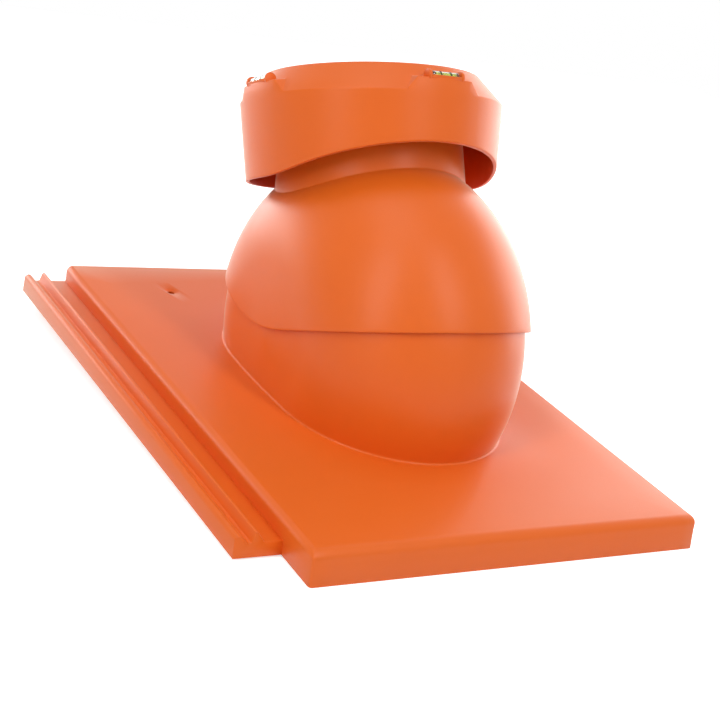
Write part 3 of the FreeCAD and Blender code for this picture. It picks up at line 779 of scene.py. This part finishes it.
def levelRing(radius, height):
    return [aroundPipe(2 * pi * k / hood["columns"], radius, height) for k in range(hood["columns"])]


def hoodPiece():
    inner = barrel["radius"] + barrel["gap"]
    outer = inner + hood["wall"]
    lows, highs = hoodRows(outer, 0)
    rings = rowsBetween(lambda k, level: hoodPoint(k, level, outer), lows, highs, hood["rows"])
    line = rings[-1]
    top = levelRing(hood["collarTopRadius"], hood["collarTop"])
    rings += [[mix(a, b, t) for a, b in zip(line, top)] for t in hood["collarRows"]]
    rings += [levelRing(radius, height) for radius, height in (
        (hood["socketRadius"], hood["collarTop"]), (hood["socketRadius"], hood["seat"]),
        (hood["neckRadius"], hood["seat"]), (hood["neckRadius"], hood["shelf"]),
        (collarRadius(hood["shelf"]) - hood["wall"], hood["shelf"]))]
    lows, highs = hoodRows(inner, hood["wall"])
    rings += rowsBetween(lambda k, level: hoodPoint(k, level, inner), highs, lows, hood["rows"] // 2)
    work = meshFrom(pointsIn(rings), ringFaces(rings, hood["columns"], loop=True), hoodAxes)
    item = softened(objectFrom("hoodShell", work), rounded["hood"], segments=3)
    return finished(item, orange, "vent", "orange_shell", "hood")


# Cap: skirt, shoulder with four blocks, and crown, on the pipe's axes.
cap = {
    "wall": 2.5,
    "rim": hood["collarTop"] - 36.0,
    "rimRadius": 88.9,
    "shoulder": hood["collarTop"] + 19.0,
    "shoulderRadius": 93.4,
    "crown": hood["collarTop"] + 38.8,
    "crownRadius": 76.0,
    "dome": 2.2,
    "mouthStart": -1.5,
    "mouthArc": 121.4,
    "mouthRise": 16.8,
    "blocks": 4,
    "blockHeight": 8.7,
    "blockFoot": 29.0,
    "blockTop": 22.0,
    "blockSlope": 8.0,
    "blockColumns": 16,
    "plainColumns": 32,
    "skirtRows": 20,
    "coneRows": 4,
    "insideRows": 4,
    "domeRows": 6,
    "webWidth": 2.5,
    "webReach": 6.0,
    "webSkirt": 12.0,
    "webGap": 0.3,
    "headRadius": 61.5,
    "headTop": hood["collarTop"] + 5.0,
}


def mouthEdge(y):
    # The cap's rim is level behind and rises in front.
    return risingEdge(-y - cap["mouthStart"], cap["rim"], cap["mouthArc"], cap["mouthRise"])


def skirtRadius(level, inset=0.0):
    share = (level - cap["rim"]) / (cap["shoulder"] - cap["rim"])
    return mix(cap["rimRadius"], cap["shoulderRadius"], share) - inset


def capColumns():
    # Turn on the shoulder, turn on the ledge's inner edge and height of the wall, by column.
    cone = (cap["crown"] - cap["shoulder"]) / (cap["shoulderRadius"] - cap["crownRadius"])
    slope = tan(radians(cap["blockSlope"]))
    lean = (cap["blockFoot"] - cap["blockTop"]) / cap["blockHeight"]
    depth = cap["blockHeight"] / (cone - slope)
    ledgeRadius = cap["shoulderRadius"] - depth
    ledgeRise = depth * cone
    foot = asin(cap["blockFoot"] / cap["shoulderRadius"])
    top = asin(cap["blockTop"] / cap["shoulderRadius"])
    innerTop = asin((cap["blockFoot"] - ledgeRise * lean) / ledgeRadius)
    sector = 2 * pi / cap["blocks"]
    columns = []
    for b in range(cap["blocks"]):
        start = b * sector
        columns.append((start - foot, start - foot, 0))
        for i in range(cap["blockColumns"] + 1):
            t = 2 * i / cap["blockColumns"] - 1
            columns.append((start + top * t, start + innerTop * t, cap["blockHeight"]))
        columns.append((start + foot, start + foot, 0))
        for i in range(1, cap["plainColumns"]):
            turn = mix(start + foot, start + sector - foot, i / cap["plainColumns"])
            columns.append((turn, turn, 0))
    return columns, ledgeRadius, ledgeRise


def capShell():
    columns, ledgeRadius, ledgeRise = capColumns()
    turns = [turn for turn, inner, height in columns]
    count = len(columns)
    wall, shoulder, crown = cap["wall"], cap["shoulder"], cap["crown"]
    rings = []

    def skirtRing(share, inset, top):
        ring = []
        for turn in turns:
            def overRim(level):
                return level - mouthEdge(-skirtRadius(level, inset) * cos(turn))
            level = mix(solve(overRim, cap["rim"] - 1, shoulder), top, share)
            ring.append(aroundPipe(turn, skirtRadius(level, inset), level))
        return ring

    def domeRing(share, radius, level):
        height = level + cap["dome"] * (1 - (1 - share) ** 2)
        return [aroundPipe(turn, radius * (1 - share), height) for turn in turns]

    rings += [skirtRing(r / cap["skirtRows"], 0, shoulder) for r in range(cap["skirtRows"] + 1)]
    rings.append([aroundPipe(turn, cap["shoulderRadius"], shoulder + height)
                  for turn, inner, height in columns])
    for r in range(cap["coneRows"] + 1):
        t = r / cap["coneRows"]
        radius, level = mix(ledgeRadius, cap["crownRadius"], t), mix(shoulder + ledgeRise, crown, t)
        rings.append([aroundPipe(mix(inner, turn, t), radius, level) for turn, inner, height in columns])
    shares = [r / cap["domeRows"] for r in range(1, cap["domeRows"])]
    rings += [domeRing(share, cap["crownRadius"], crown) for share in shares]
    outside = len(rings)
    rings += [domeRing(1 - share, cap["crownRadius"] - wall / 2, crown - wall) for share in shares]
    rings.append([aroundPipe(turn, cap["crownRadius"] - wall / 2, crown - wall) for turn in turns])
    rows = cap["insideRows"]
    rings += [skirtRing(r / rows, wall, shoulder - wall / 2) for r in range(rows, -1, -1)]

    faces = []
    for a, n, m, b in ringFaces(rings[:outside], count):
        # The quads beside a block's corner are twisted, so each is split along its crease.
        rise = columns[n % count][2] - columns[a % count][2]
        if a // count != cap["skirtRows"] + 1 or rise == 0:
            faces.append((a, n, m, b))
        else:
            faces += [(a, n, m), (a, m, b)] if rise > 0 else [(a, n, b), (n, m, b)]
    faces += [tuple(i + outside * count for i in face) for face in ringFaces(rings[outside:], count)]
    last = (len(rings) - 1) * count
    faces += [(last + k, last + (k + 1) % count, (k + 1) % count, k) for k in range(count)]
    faces += [tuple(range(r * count, (r + 1) * count)) for r in (outside - 1, outside)]
    return objectFrom("capShell", meshFrom(pointsIn(rings), faces, hoodAxes))


def webPlate():
    # One of the webs that hold the cap on the pipe's head, on the hood's own axes.
    seat, under, top = cap["headTop"] - cap["webSkirt"], cap["crown"] - cap["wall"] / 2, cap["headTop"]
    inside = collarRadius(seat) + cap["webGap"]
    near = cap["headRadius"] - cap["webReach"]
    outline = [(near, top), (inside, top), (inside, seat), (skirtRadius(seat, cap["wall"] / 2), seat),
               (cap["shoulderRadius"] - cap["wall"] / 2, cap["shoulder"]), (cap["crownRadius"], under),
               (near, under)]
    half = cap["webWidth"] / 2
    return prism("web", [(r, -half, z) for r, z in outline], [(r, half, z) for r, z in outline])


# Level vials in cradles on the front and the left block.
vial = {
    "inset": 3.9,
    "lift": 1.7,
    "radius": 3.0,
    "wall": 0.6,
    "length": 21.0,
    "plug": 2.2,
    "markWidth": 0.8,
    "markHeight": 0.15,
    "markSpacing": 8.0,
    "bubbleRadius": 1.1,
    "bubbleLength": 6.0,
    "bubbleLift": 0.02,
    "bubbleSteps": 6,
    "liquidGap": 0.01,
    "chamfer": {"tube": 0.2, "plug": 0.3},
    "cradleGap": 0.15,
    "cradleLip": 1.0,
    "cradleLength": 24.0,
    "cradleEnd": 2.0,
    "turns": {"front": 0.0, "left": -90.0},
}


def vialAxes(side):
    # Z along the vial, X up, at the vial's middle.
    spin = Matrix.Rotation(radians(vial["turns"][side]), 4, "Z")
    place = Matrix.Translation((0, -(cap["shoulderRadius"] - vial["inset"]),
                                cap["shoulder"] + cap["blockHeight"] + vial["lift"]))
    return hoodAxes @ spin @ place @ Matrix.Rotation(radians(90), 4, "Y") @ Matrix.Rotation(pi, 4, "Z")


def cradlePieces(side):
    # An open trough under the vial, and a round end on either side of it.
    axes, steps = vialAxes(side), facets // 2
    inner = vial["radius"] + vial["cradleGap"]
    outer = inner + vial["cradleLip"]
    half = vial["cradleLength"] / 2
    angles = [pi / 2 + pi * s / steps for s in range(steps + 1)]
    section = [(outer * cos(angle), outer * sin(angle)) for angle in angles]
    section += [(inner * cos(angle), inner * sin(angle)) for angle in reversed(angles)]
    count = len(section)
    faces = ringFaces([0, 1], count)
    for s in range(steps):
        end = [s, s + 1, count - 2 - s, count - 1 - s]
        faces += [end, [i + count for i in end]]
    points = [(x, y, z) for z in (-half, half) for x, y in section]
    pieces = [objectFrom("cradleTrough", meshFrom(points, faces, axes))]
    for start, end in ((-half - vial["cradleEnd"], -half), (half, half + vial["cradleEnd"])):
        profile = [(0, start), (outer, start), (outer, end), (0, end)]
        pieces.append(lathe("cradleEnd", profile, facets, axes, closed=False))
    return pieces


def capPiece():
    shell = softened(capShell(), rounded["cap"], rounded["capAngle"], segments=3)
    print("cap shell:", len(shell.data.polygons), "faces")
    small = [aroundAxis(webPlate(), cap["blocks"], 180 / cap["blocks"])]
    for side in vial["turns"]:
        small += cradlePieces(side)
    small = [softened(piece, rounded["cradle"]) for piece in small]
    item = smooth(joined("capShell", [shell] + small))
    return finished(item, orange, "vent", "orange_shell", "cap")


def bubbleTool(side):
    # A rounded bubble at the top of the bore, as a lathe on its own raised axis.
    r, half = vial["bubbleRadius"], vial["bubbleLength"] / 2
    steps = vial["bubbleSteps"]
    angles = [pi / 2 * s / steps for s in range(1, steps + 1)]
    end = [(r * sin(angle), half - r + r * cos(angle)) for angle in angles]
    profile = [(0, -half)] + [(x, -z) for x, z in end] + [(x, z) for x, z in reversed(end)] + [(0, half)]
    lift = Matrix.Translation((vial["radius"] - vial["wall"] - r + vial["bubbleLift"], 0, 0))
    return lathe("bubble", profile, facets // 2, vialAxes(side) @ lift, closed=False)


def vialPieces(side):
    radius, half, chamfer = vial["radius"], vial["length"] / 2, vial["chamfer"]
    bore, wet = radius - vial["wall"], half - vial["plug"]
    node, title = "vial_" + side + "_", side.title()

    def along(name, profile, closed=True):
        return smooth(lathe(name, profile, facets, vialAxes(side), closed=closed))

    edge = radius - chamfer["tube"]
    tube = along("vialTube" + title, [(bore, -half), (edge, -half), (radius, -half + chamfer["tube"]),
                                      (radius, half - chamfer["tube"]), (edge, half), (bore, half)])
    finished(tube, clearPlastic, "vent", "vial_glass", node + "tube")
    wetRadius = bore - vial["liquidGap"]
    profile = [(0, -wet), (wetRadius, -wet), (wetRadius, wet), (0, wet)]
    column = along("vialLiquid" + title, profile, closed=False)
    liquid = smooth(cutAway(column, [bubbleTool(side)]))
    finished(liquid, levelLiquid, "vent", "vial_liquid", node + "liquid")
    for number, (start, end) in enumerate(((-half, -wet), (wet, half)), start=1):
        cut = chamfer["plug"]
        profile = [(0, start), (bore - cut, start), (bore, start + cut), (bore, end - cut), (bore - cut, end),
                   (0, end)]
        plug = along("vialPlug%d%s" % (number, title), profile, closed=False)
        finished(plug, plugRubber, "vent", "vial_plug", node + "plug_%d" % number)
    for number, middle in enumerate((-vial["markSpacing"] / 2, vial["markSpacing"] / 2), start=1):
        low, high = middle - vial["markWidth"] / 2, middle + vial["markWidth"] / 2
        outer = radius + vial["markHeight"]
        profile = [(radius, low), (outer, low), (outer, high), (radius, high)]
        mark = along("vialMark%d%s" % (number, title), profile)
        finished(mark, markPaint, "vent", "vial_mark", node + "mark_%d" % number)


# Vent pipe with its spigot and thread, and the ring that clamps it under the foot.
pipe = {
    "radius": 50.0,
    "wall": 3.0,
    "below": 24.0,
    "spigot": 45.0,
    "groove": 3.0,
    "grooveDepth": 0.6,
    "headRadius": 61.5,
    "count": 160,
    "threadRadius": 50.8,
    "threadPitch": 4.0,
    "threadBead": 1.3,
    "threadSteps": 96,
    "beadSteps": 8,
    "threadTop": crest - 44.5,
    "ringWidth": 9.0,
    "ringHeight": 10.0,
    "ringLip": 3.0,
    "ringTop": crest - 32.0,
    "ringCount": 240,
    "sleeveRadius": 55.1,
    "grips": 12,
    "firstGrip": 20,
    "gripWidth": 8.0,
    "gripDepth": 2.0,
}


def threadTree():
    # A low rounded thread swept along a helix.
    sizes = dict.fromkeys(("Radius", "Height", "Pitch", "Bead"), "Float")
    tree, entry, leave = shapeTree("pipeThread", sizes)
    helix = tree.nodes.new("GeometryNodeCurveSpiral")
    bead = tree.nodes.new("GeometryNodeCurvePrimitiveCircle")
    sweep = tree.nodes.new("GeometryNodeCurveToMesh")
    setInputs(helix, {"Resolution": pipe["threadSteps"]})
    setInputs(bead, {"Resolution": pipe["beadSteps"]})
    setInputs(sweep, {"Fill Caps": True})
    turns = mathNode(tree, "DIVIDE", entry.outputs["Height"], entry.outputs["Pitch"])
    wire(tree, (turns, helix, "Rotations"), (entry, "Radius", helix, "Start Radius"),
         (entry, "Radius", helix, "End Radius"), (entry, "Height", helix, "Height"),
         (entry, "Bead", bead, "Radius"), (helix, "Curve", sweep, "Curve"),
         (bead, "Curve", sweep, "Profile Curve"))
    return endTree(tree, entry, leave, sweep.outputs["Mesh"])


def pipeThread():
    item = objectFrom("pipeThread", bmesh.new())
    pitch, bead = pipe["threadPitch"], pipe["threadBead"]
    low = pipe["spigot"] - pipe["below"] + pipe["groove"] + pitch
    runTree(item, threadTree(), darkPlastic, Radius=(pipe["threadRadius"] - bead) * mm,
            Height=(pipe["threadTop"] - low) * mm, Pitch=pitch * mm, Bead=bead * mm)
    item.data.transform(hoodMetres @ Matrix.Translation((0, 0, low * mm)))
    return smooth(item, 60)


def pipePiece():
    # From the spigot's lower end up to the head and down the bore.
    radius, wall, crestRadius, head = pipe["radius"], pipe["wall"], pipe["threadRadius"], pipe["headRadius"]
    bore, core = radius - wall, radius - pipe["grooveDepth"]
    bottom, stop = -pipe["below"], pipe["spigot"] - pipe["below"]
    seat, top, crestEnd = hood["seat"], cap["headTop"], pipe["threadTop"] + pipe["threadPitch"] / 2
    profile = [(bore, bottom), (radius - 1, bottom), (radius, bottom + 1), (radius, stop), (core, stop),
               (core, crestEnd), (crestRadius, crestEnd + 1), (crestRadius, seat), (head, seat), (head, top),
               (head - wall, top), (head - wall, seat + wall), (bore, seat + wall)]
    body = softened(lathe("pipeBody", profile, pipe["count"], hoodAxes), rounded["pipe"])
    return finished(joined("ventPipe", [body, pipeThread()]), darkPlastic, "vent", "dark_inner", "vent_pipe")


def ringPiece():
    top, low, lip = pipe["ringTop"], pipe["ringTop"] - pipe["ringHeight"], pipe["ringTop"] - pipe["ringLip"]
    inner, half, depth = pipe["threadRadius"], pipe["gripWidth"] / 2, pipe["gripDepth"]
    outer = inner + pipe["ringWidth"]
    profile = [(inner, low), (outer, low), (outer, lip), (pipe["sleeveRadius"], top), (inner, top)]
    body = lathe("ringBody", profile, pipe["ringCount"], hoodAxes)
    grip = box("grip", (outer - depth, -half, low - 1), (outer + depth, half, lip))
    grips = aroundAxis(grip, pipe["grips"], pipe["firstGrip"])
    item = softened(cutAway(body, [grips]), rounded["ring"])
    item.name = "lockRing"
    return finished(item, darkPlastic, "vent", "dark_inner", "lock_ring")


def saddlePiece():
    # The solid's own mesh, merged and shaded smooth.
    source = bpy.data.objects["clamp_saddle"]
    work = bmesh.new()
    work.from_mesh(source.data)
    bmesh.ops.remove_doubles(work, verts=work.verts, dist=mergeWithin)
    item = smooth(objectFrom("clampSaddle", work))
    return finished(item, darkPlastic, "vent", "dark_inner", "clamp_saddle")


# Finishes. Grain and clouding are one node group, with its own values in each material.
finish = {
    # The orange's rim colour is a painted highlight, mixed into the base colour towards the silhouettes.
    "orange": {"colour": (0.83, 0.148, 0.012), "second": (0.78, 0.125, 0.008), "roughness": 0.38,
               "grain": 1500.0, "depth": 0.35, "gloss": 0.34, "sheen": 0.07, "rim": (0.95, 0.68, 0.50)},
    "dark": {"colour": (0.035, 0.033, 0.032), "second": (0.022, 0.021, 0.020), "roughness": 0.45,
             "grain": 1200.0, "depth": 0.30},
    "tube": {"colour": (0.97, 1.0, 0.93), "second": (0.93, 0.97, 0.88), "roughness": 0.03,
             "grain": 300.0, "depth": 0.02, "transmission": 1.0, "ior": 1.49},
    "liquid": {"colour": (0.64, 0.66, 0.03), "second": (0.56, 0.60, 0.02), "roughness": 0.06,
               "grain": 200.0, "depth": 0.02, "transmission": 0.15, "ior": 1.36},
    "rubber": {"colour": (0.30, 0.05, 0.02), "second": (0.22, 0.03, 0.01), "roughness": 0.60,
               "grain": 2500.0, "depth": 0.30},
    "paint": {"colour": (0.02, 0.02, 0.02), "second": (0.012, 0.012, 0.012), "roughness": 0.50,
              "grain": 2500.0, "depth": 0.20},
    "sheenRoughness": 0.3,
    "bumpDistance": 0.0002,
    # Falloff and strength of that painted rim highlight.
    "rimPower": 8.0,
    "rimShare": 0.95,
    "cloudScale": 14.0,
    "cloudShare": 0.5,
    "fineShare": 0.3,
    "leastRoughness": 0.88,
    "roughnessSpread": 0.3,
}


def grainGroup():
    # Fine moulded grain over soft clouding, in the piece's own coordinates.
    inputs = {"Vector": "Vector", "Colour": "Color", "Second": "Color",
              "Roughness": "Float", "Grain": "Float", "Depth": "Float"}
    outputs = {"Colour": "Color", "Roughness": "Float", "Height": "Float"}
    group, entry, leave = newTree("mouldedGrain", "ShaderNodeTree", inputs, outputs)
    fine = group.nodes.new("ShaderNodeTexNoise")
    cloud = group.nodes.new("ShaderNodeTexNoise")
    tint = addNode(group, "ShaderNodeMix", data_type="RGBA")
    setInputs(fine, {"Detail": 2.0})
    setInputs(cloud, {"Scale": finish["cloudScale"], "Detail": 3.0})
    share = mathNode(group, "ADD", mathNode(group, "MULTIPLY", cloud.outputs["Fac"], finish["cloudShare"]),
                     mathNode(group, "MULTIPLY", fine.outputs["Fac"], finish["fineShare"]))
    spread = mathNode(group, "ADD", mathNode(group, "MULTIPLY", share, finish["roughnessSpread"]),
                      finish["leastRoughness"])
    wire(group, (entry, "Vector", fine, "Vector"), (entry, "Vector", cloud, "Vector"),
         (entry, "Grain", fine, "Scale"), (share, tint, "Factor"), (entry, "Colour", tint, "A"),
         (entry, "Second", tint, "B"), (tint, "Result", leave, "Colour"),
         (mathNode(group, "MULTIPLY", entry.outputs["Roughness"], spread), leave, "Roughness"),
         (mathNode(group, "MULTIPLY", fine.outputs["Fac"], entry.outputs["Depth"]), leave, "Height"))
    return group


mouldedGrain = grainGroup()


def paintedRimHighlight(tree, colour, rim):
    # Painted highlight: the base colour turns pale where the surface curves out of sight, standing in for the
    # reflection at the silhouettes.
    facing = tree.nodes.new("ShaderNodeLayerWeight")
    setInputs(facing, {"Blend": 0.5})
    blend = addNode(tree, "ShaderNodeMix", data_type="RGBA")
    edge = mathNode(tree, "POWER", facing.outputs["Facing"], finish["rimPower"])
    wire(tree, (mathNode(tree, "MULTIPLY", edge, finish["rimShare"]), blend, "Factor"), (colour, blend, "A"))
    blend.inputs["B"].default_value = (*rim, 1)
    return blend.outputs["Result"]


def mouldedMaterial(name, look):
    material = bpy.data.materials.new(name)
    material.use_nodes = True
    tree = material.node_tree
    shader = tree.nodes["Principled BSDF"]
    setInputs(shader, {"Transmission Weight": look.get("transmission", 0.0), "IOR": look.get("ior", 1.5),
                       "Specular IOR Level": look.get("gloss", 0.5), "Sheen Weight": look.get("sheen", 0.0),
                       "Sheen Roughness": finish["sheenRoughness"]})
    place = tree.nodes.new("ShaderNodeTexCoord")
    grain = addNode(tree, "ShaderNodeGroup", node_tree=mouldedGrain)
    setInputs(grain, {"Colour": (*look["colour"], 1), "Second": (*look["second"], 1),
                      "Roughness": look["roughness"], "Grain": look["grain"], "Depth": look["depth"]})
    bump = tree.nodes.new("ShaderNodeBump")
    setInputs(bump, {"Distance": finish["bumpDistance"]})
    colour = grain.outputs["Colour"]
    # Painted pale highlight towards the silhouettes, in the base colour.
    if "rim" in look:
        colour = paintedRimHighlight(tree, colour, look["rim"])
    wire(tree, (place, "Object", grain, "Vector"), (colour, shader, "Base Color"),
         (grain, "Roughness", shader, "Roughness"), (grain, "Height", bump, "Height"),
         (bump, "Normal", shader, "Normal"))
    return material


orange = mouldedMaterial("orangePlastic", finish["orange"])
darkPlastic = mouldedMaterial("darkPlastic", finish["dark"])
clearPlastic = mouldedMaterial("clearTube", finish["tube"])
levelLiquid = mouldedMaterial("levelLiquid", finish["liquid"])
plugRubber = mouldedMaterial("plugRubber", finish["rubber"])
markPaint = mouldedMaterial("markPaint", finish["paint"])
print("materials made")

tilePiece()
print("tile made")
hoodPiece()
print("hood made")
capPiece()
print("cap made")
pipePiece()
ringPiece()
saddlePiece()
print("pipe, ring and saddle made")
for side in vial["turns"]:
    vialPieces(side)
print("vials made")

# Camera at the photo's angle.
camera = {
    "place": Vector((-585.0, -971.4, 448.2)),
    "right": Vector((0.84509, -0.48400, 0.22706)),
    "down": Vector((-0.01021, -0.43925, -0.89831)),
    "forward": Vector((0.53452, 0.75683, -0.37615)),
    "focal": 1510.3,
    "frame": 720.0,
}
view = bpy.data.cameras.new("view")
view.sensor_width = 36
view.sensor_fit = "HORIZONTAL"
view.lens = camera["focal"] / camera["frame"] * view.sensor_width
viewer = linked("view", view)
turned = Matrix((camera["right"], -camera["down"], -camera["forward"])).transposed().to_4x4()
viewer.matrix_world = Matrix.Translation(camera["place"] * mm) @ turned
bpy.context.scene.camera = viewer

# Studio: soft lamps placed to the right of, above and towards the camera from the object, in metres.
studio = {
    "middle": Vector((0.0, -0.12, 0.09)),
    "lamps": {
        "left": {"at": (-1.25, 0.25, -1.00), "size": (1.5, 1.7), "watts": 34.0},
        "right": {"at": (1.15, 0.30, -1.05), "size": (1.5, 1.6), "watts": 22.0},
        "top": {"at": (0.0, 1.6, 0.7), "size": (1.2, 1.0), "watts": 5.0},
        "frontLeft": {"at": (-0.66, 0.75, 1.72), "size": (0.18, 1.6), "watts": 11.0},
        "frontRight": {"at": (1.20, 0.75, 1.45), "size": (0.18, 1.6), "watts": 11.0},
    },
    "ambient": 0.34,
    "floorColour": (0.9, 0.9, 0.9),
    "floorLift": 0.66,
    "floorHalf": 1.6,
    "floorGap": 0.3,
}


def lamp(name, at, size, watts):
    light = bpy.data.lights.new(name, "AREA")
    light.shape = "RECTANGLE"
    light.size, light.size_y = size
    light.energy = watts
    item = linked(name, light)
    place = camera["right"] * at[0] - camera["down"] * at[1] - camera["forward"] * at[2]
    item.location = studio["middle"] + place
    item.rotation_euler = place.to_track_quat("Z", "Y").to_euler()
    item.visible_camera = False


def raysSeen(tree):
    # 1 for rays that look at the background: from the camera, from gloss and through glass.
    path = tree.nodes.new("ShaderNodeLightPath")
    seen = mathNode(tree, "MAXIMUM", path.outputs["Is Camera Ray"], path.outputs["Is Glossy Ray"])
    return mathNode(tree, "MAXIMUM", seen, path.outputs["Is Transmission Ray"])


def floorPiece():
    # Plain floor under the tile's front edge and its two hooks.
    front = Vector((0, -tile["battenSeat"], 0))
    hook = Vector((0, under["nibFace"] - tile["battenSeat"], -under["nibDepth"]))
    along = (hook - front).normalized()
    reach = studio["floorHalf"] / mm
    corners = [front + Vector((x * reach, 0, -studio["floorGap"])) + along * y * reach
               for x, y in ((-1, -1), (1, -1), (1, 1), (-1, 1))]
    mesh = bpy.data.meshes.new("floor")
    mesh.from_pydata([p * mm for p in corners], [], [(0, 1, 2, 3)])
    floor = linked("floor", mesh)
    material = bpy.data.materials.new("paleFloor")
    material.use_nodes = True
    tree = material.node_tree
    shader = tree.nodes["Principled BSDF"]
    setInputs(shader, {"Base Color": (*studio["floorColour"], 1), "Roughness": 0.9, "Specular IOR Level": 0.1,
                       "Emission Color": (1, 1, 1, 1)})
    lift = mathNode(tree, "MULTIPLY", raysSeen(tree), studio["floorLift"])
    wire(tree, (lift, shader, "Emission Strength"))
    floor.data.materials.append(material)


def studioWorld():
    # White where it is looked at, plain soft light for everything else.
    world = bpy.data.worlds.new("studio")
    world.use_nodes = True
    tree = world.node_tree
    plain = tree.nodes["Background"]
    white = tree.nodes.new("ShaderNodeBackground")
    choice = tree.nodes.new("ShaderNodeMixShader")
    setInputs(plain, {"Color": (1, 1, 1, 1), "Strength": studio["ambient"]})
    setInputs(white, {"Color": (1, 1, 1, 1), "Strength": 1.0})
    wire(tree, (raysSeen(tree), choice, "Fac"), (plain, "Background", choice, 1),
         (white, "Background", choice, 2), (choice, "Shader", tree.nodes["World Output"], "Surface"))
    bpy.context.scene.world = world


for name, values in studio["lamps"].items():
    lamp(name, values["at"], values["size"], values["watts"])
floorPiece()
studioWorld()
bpy.context.scene.view_settings.view_transform = "Standard"
print("studio set")
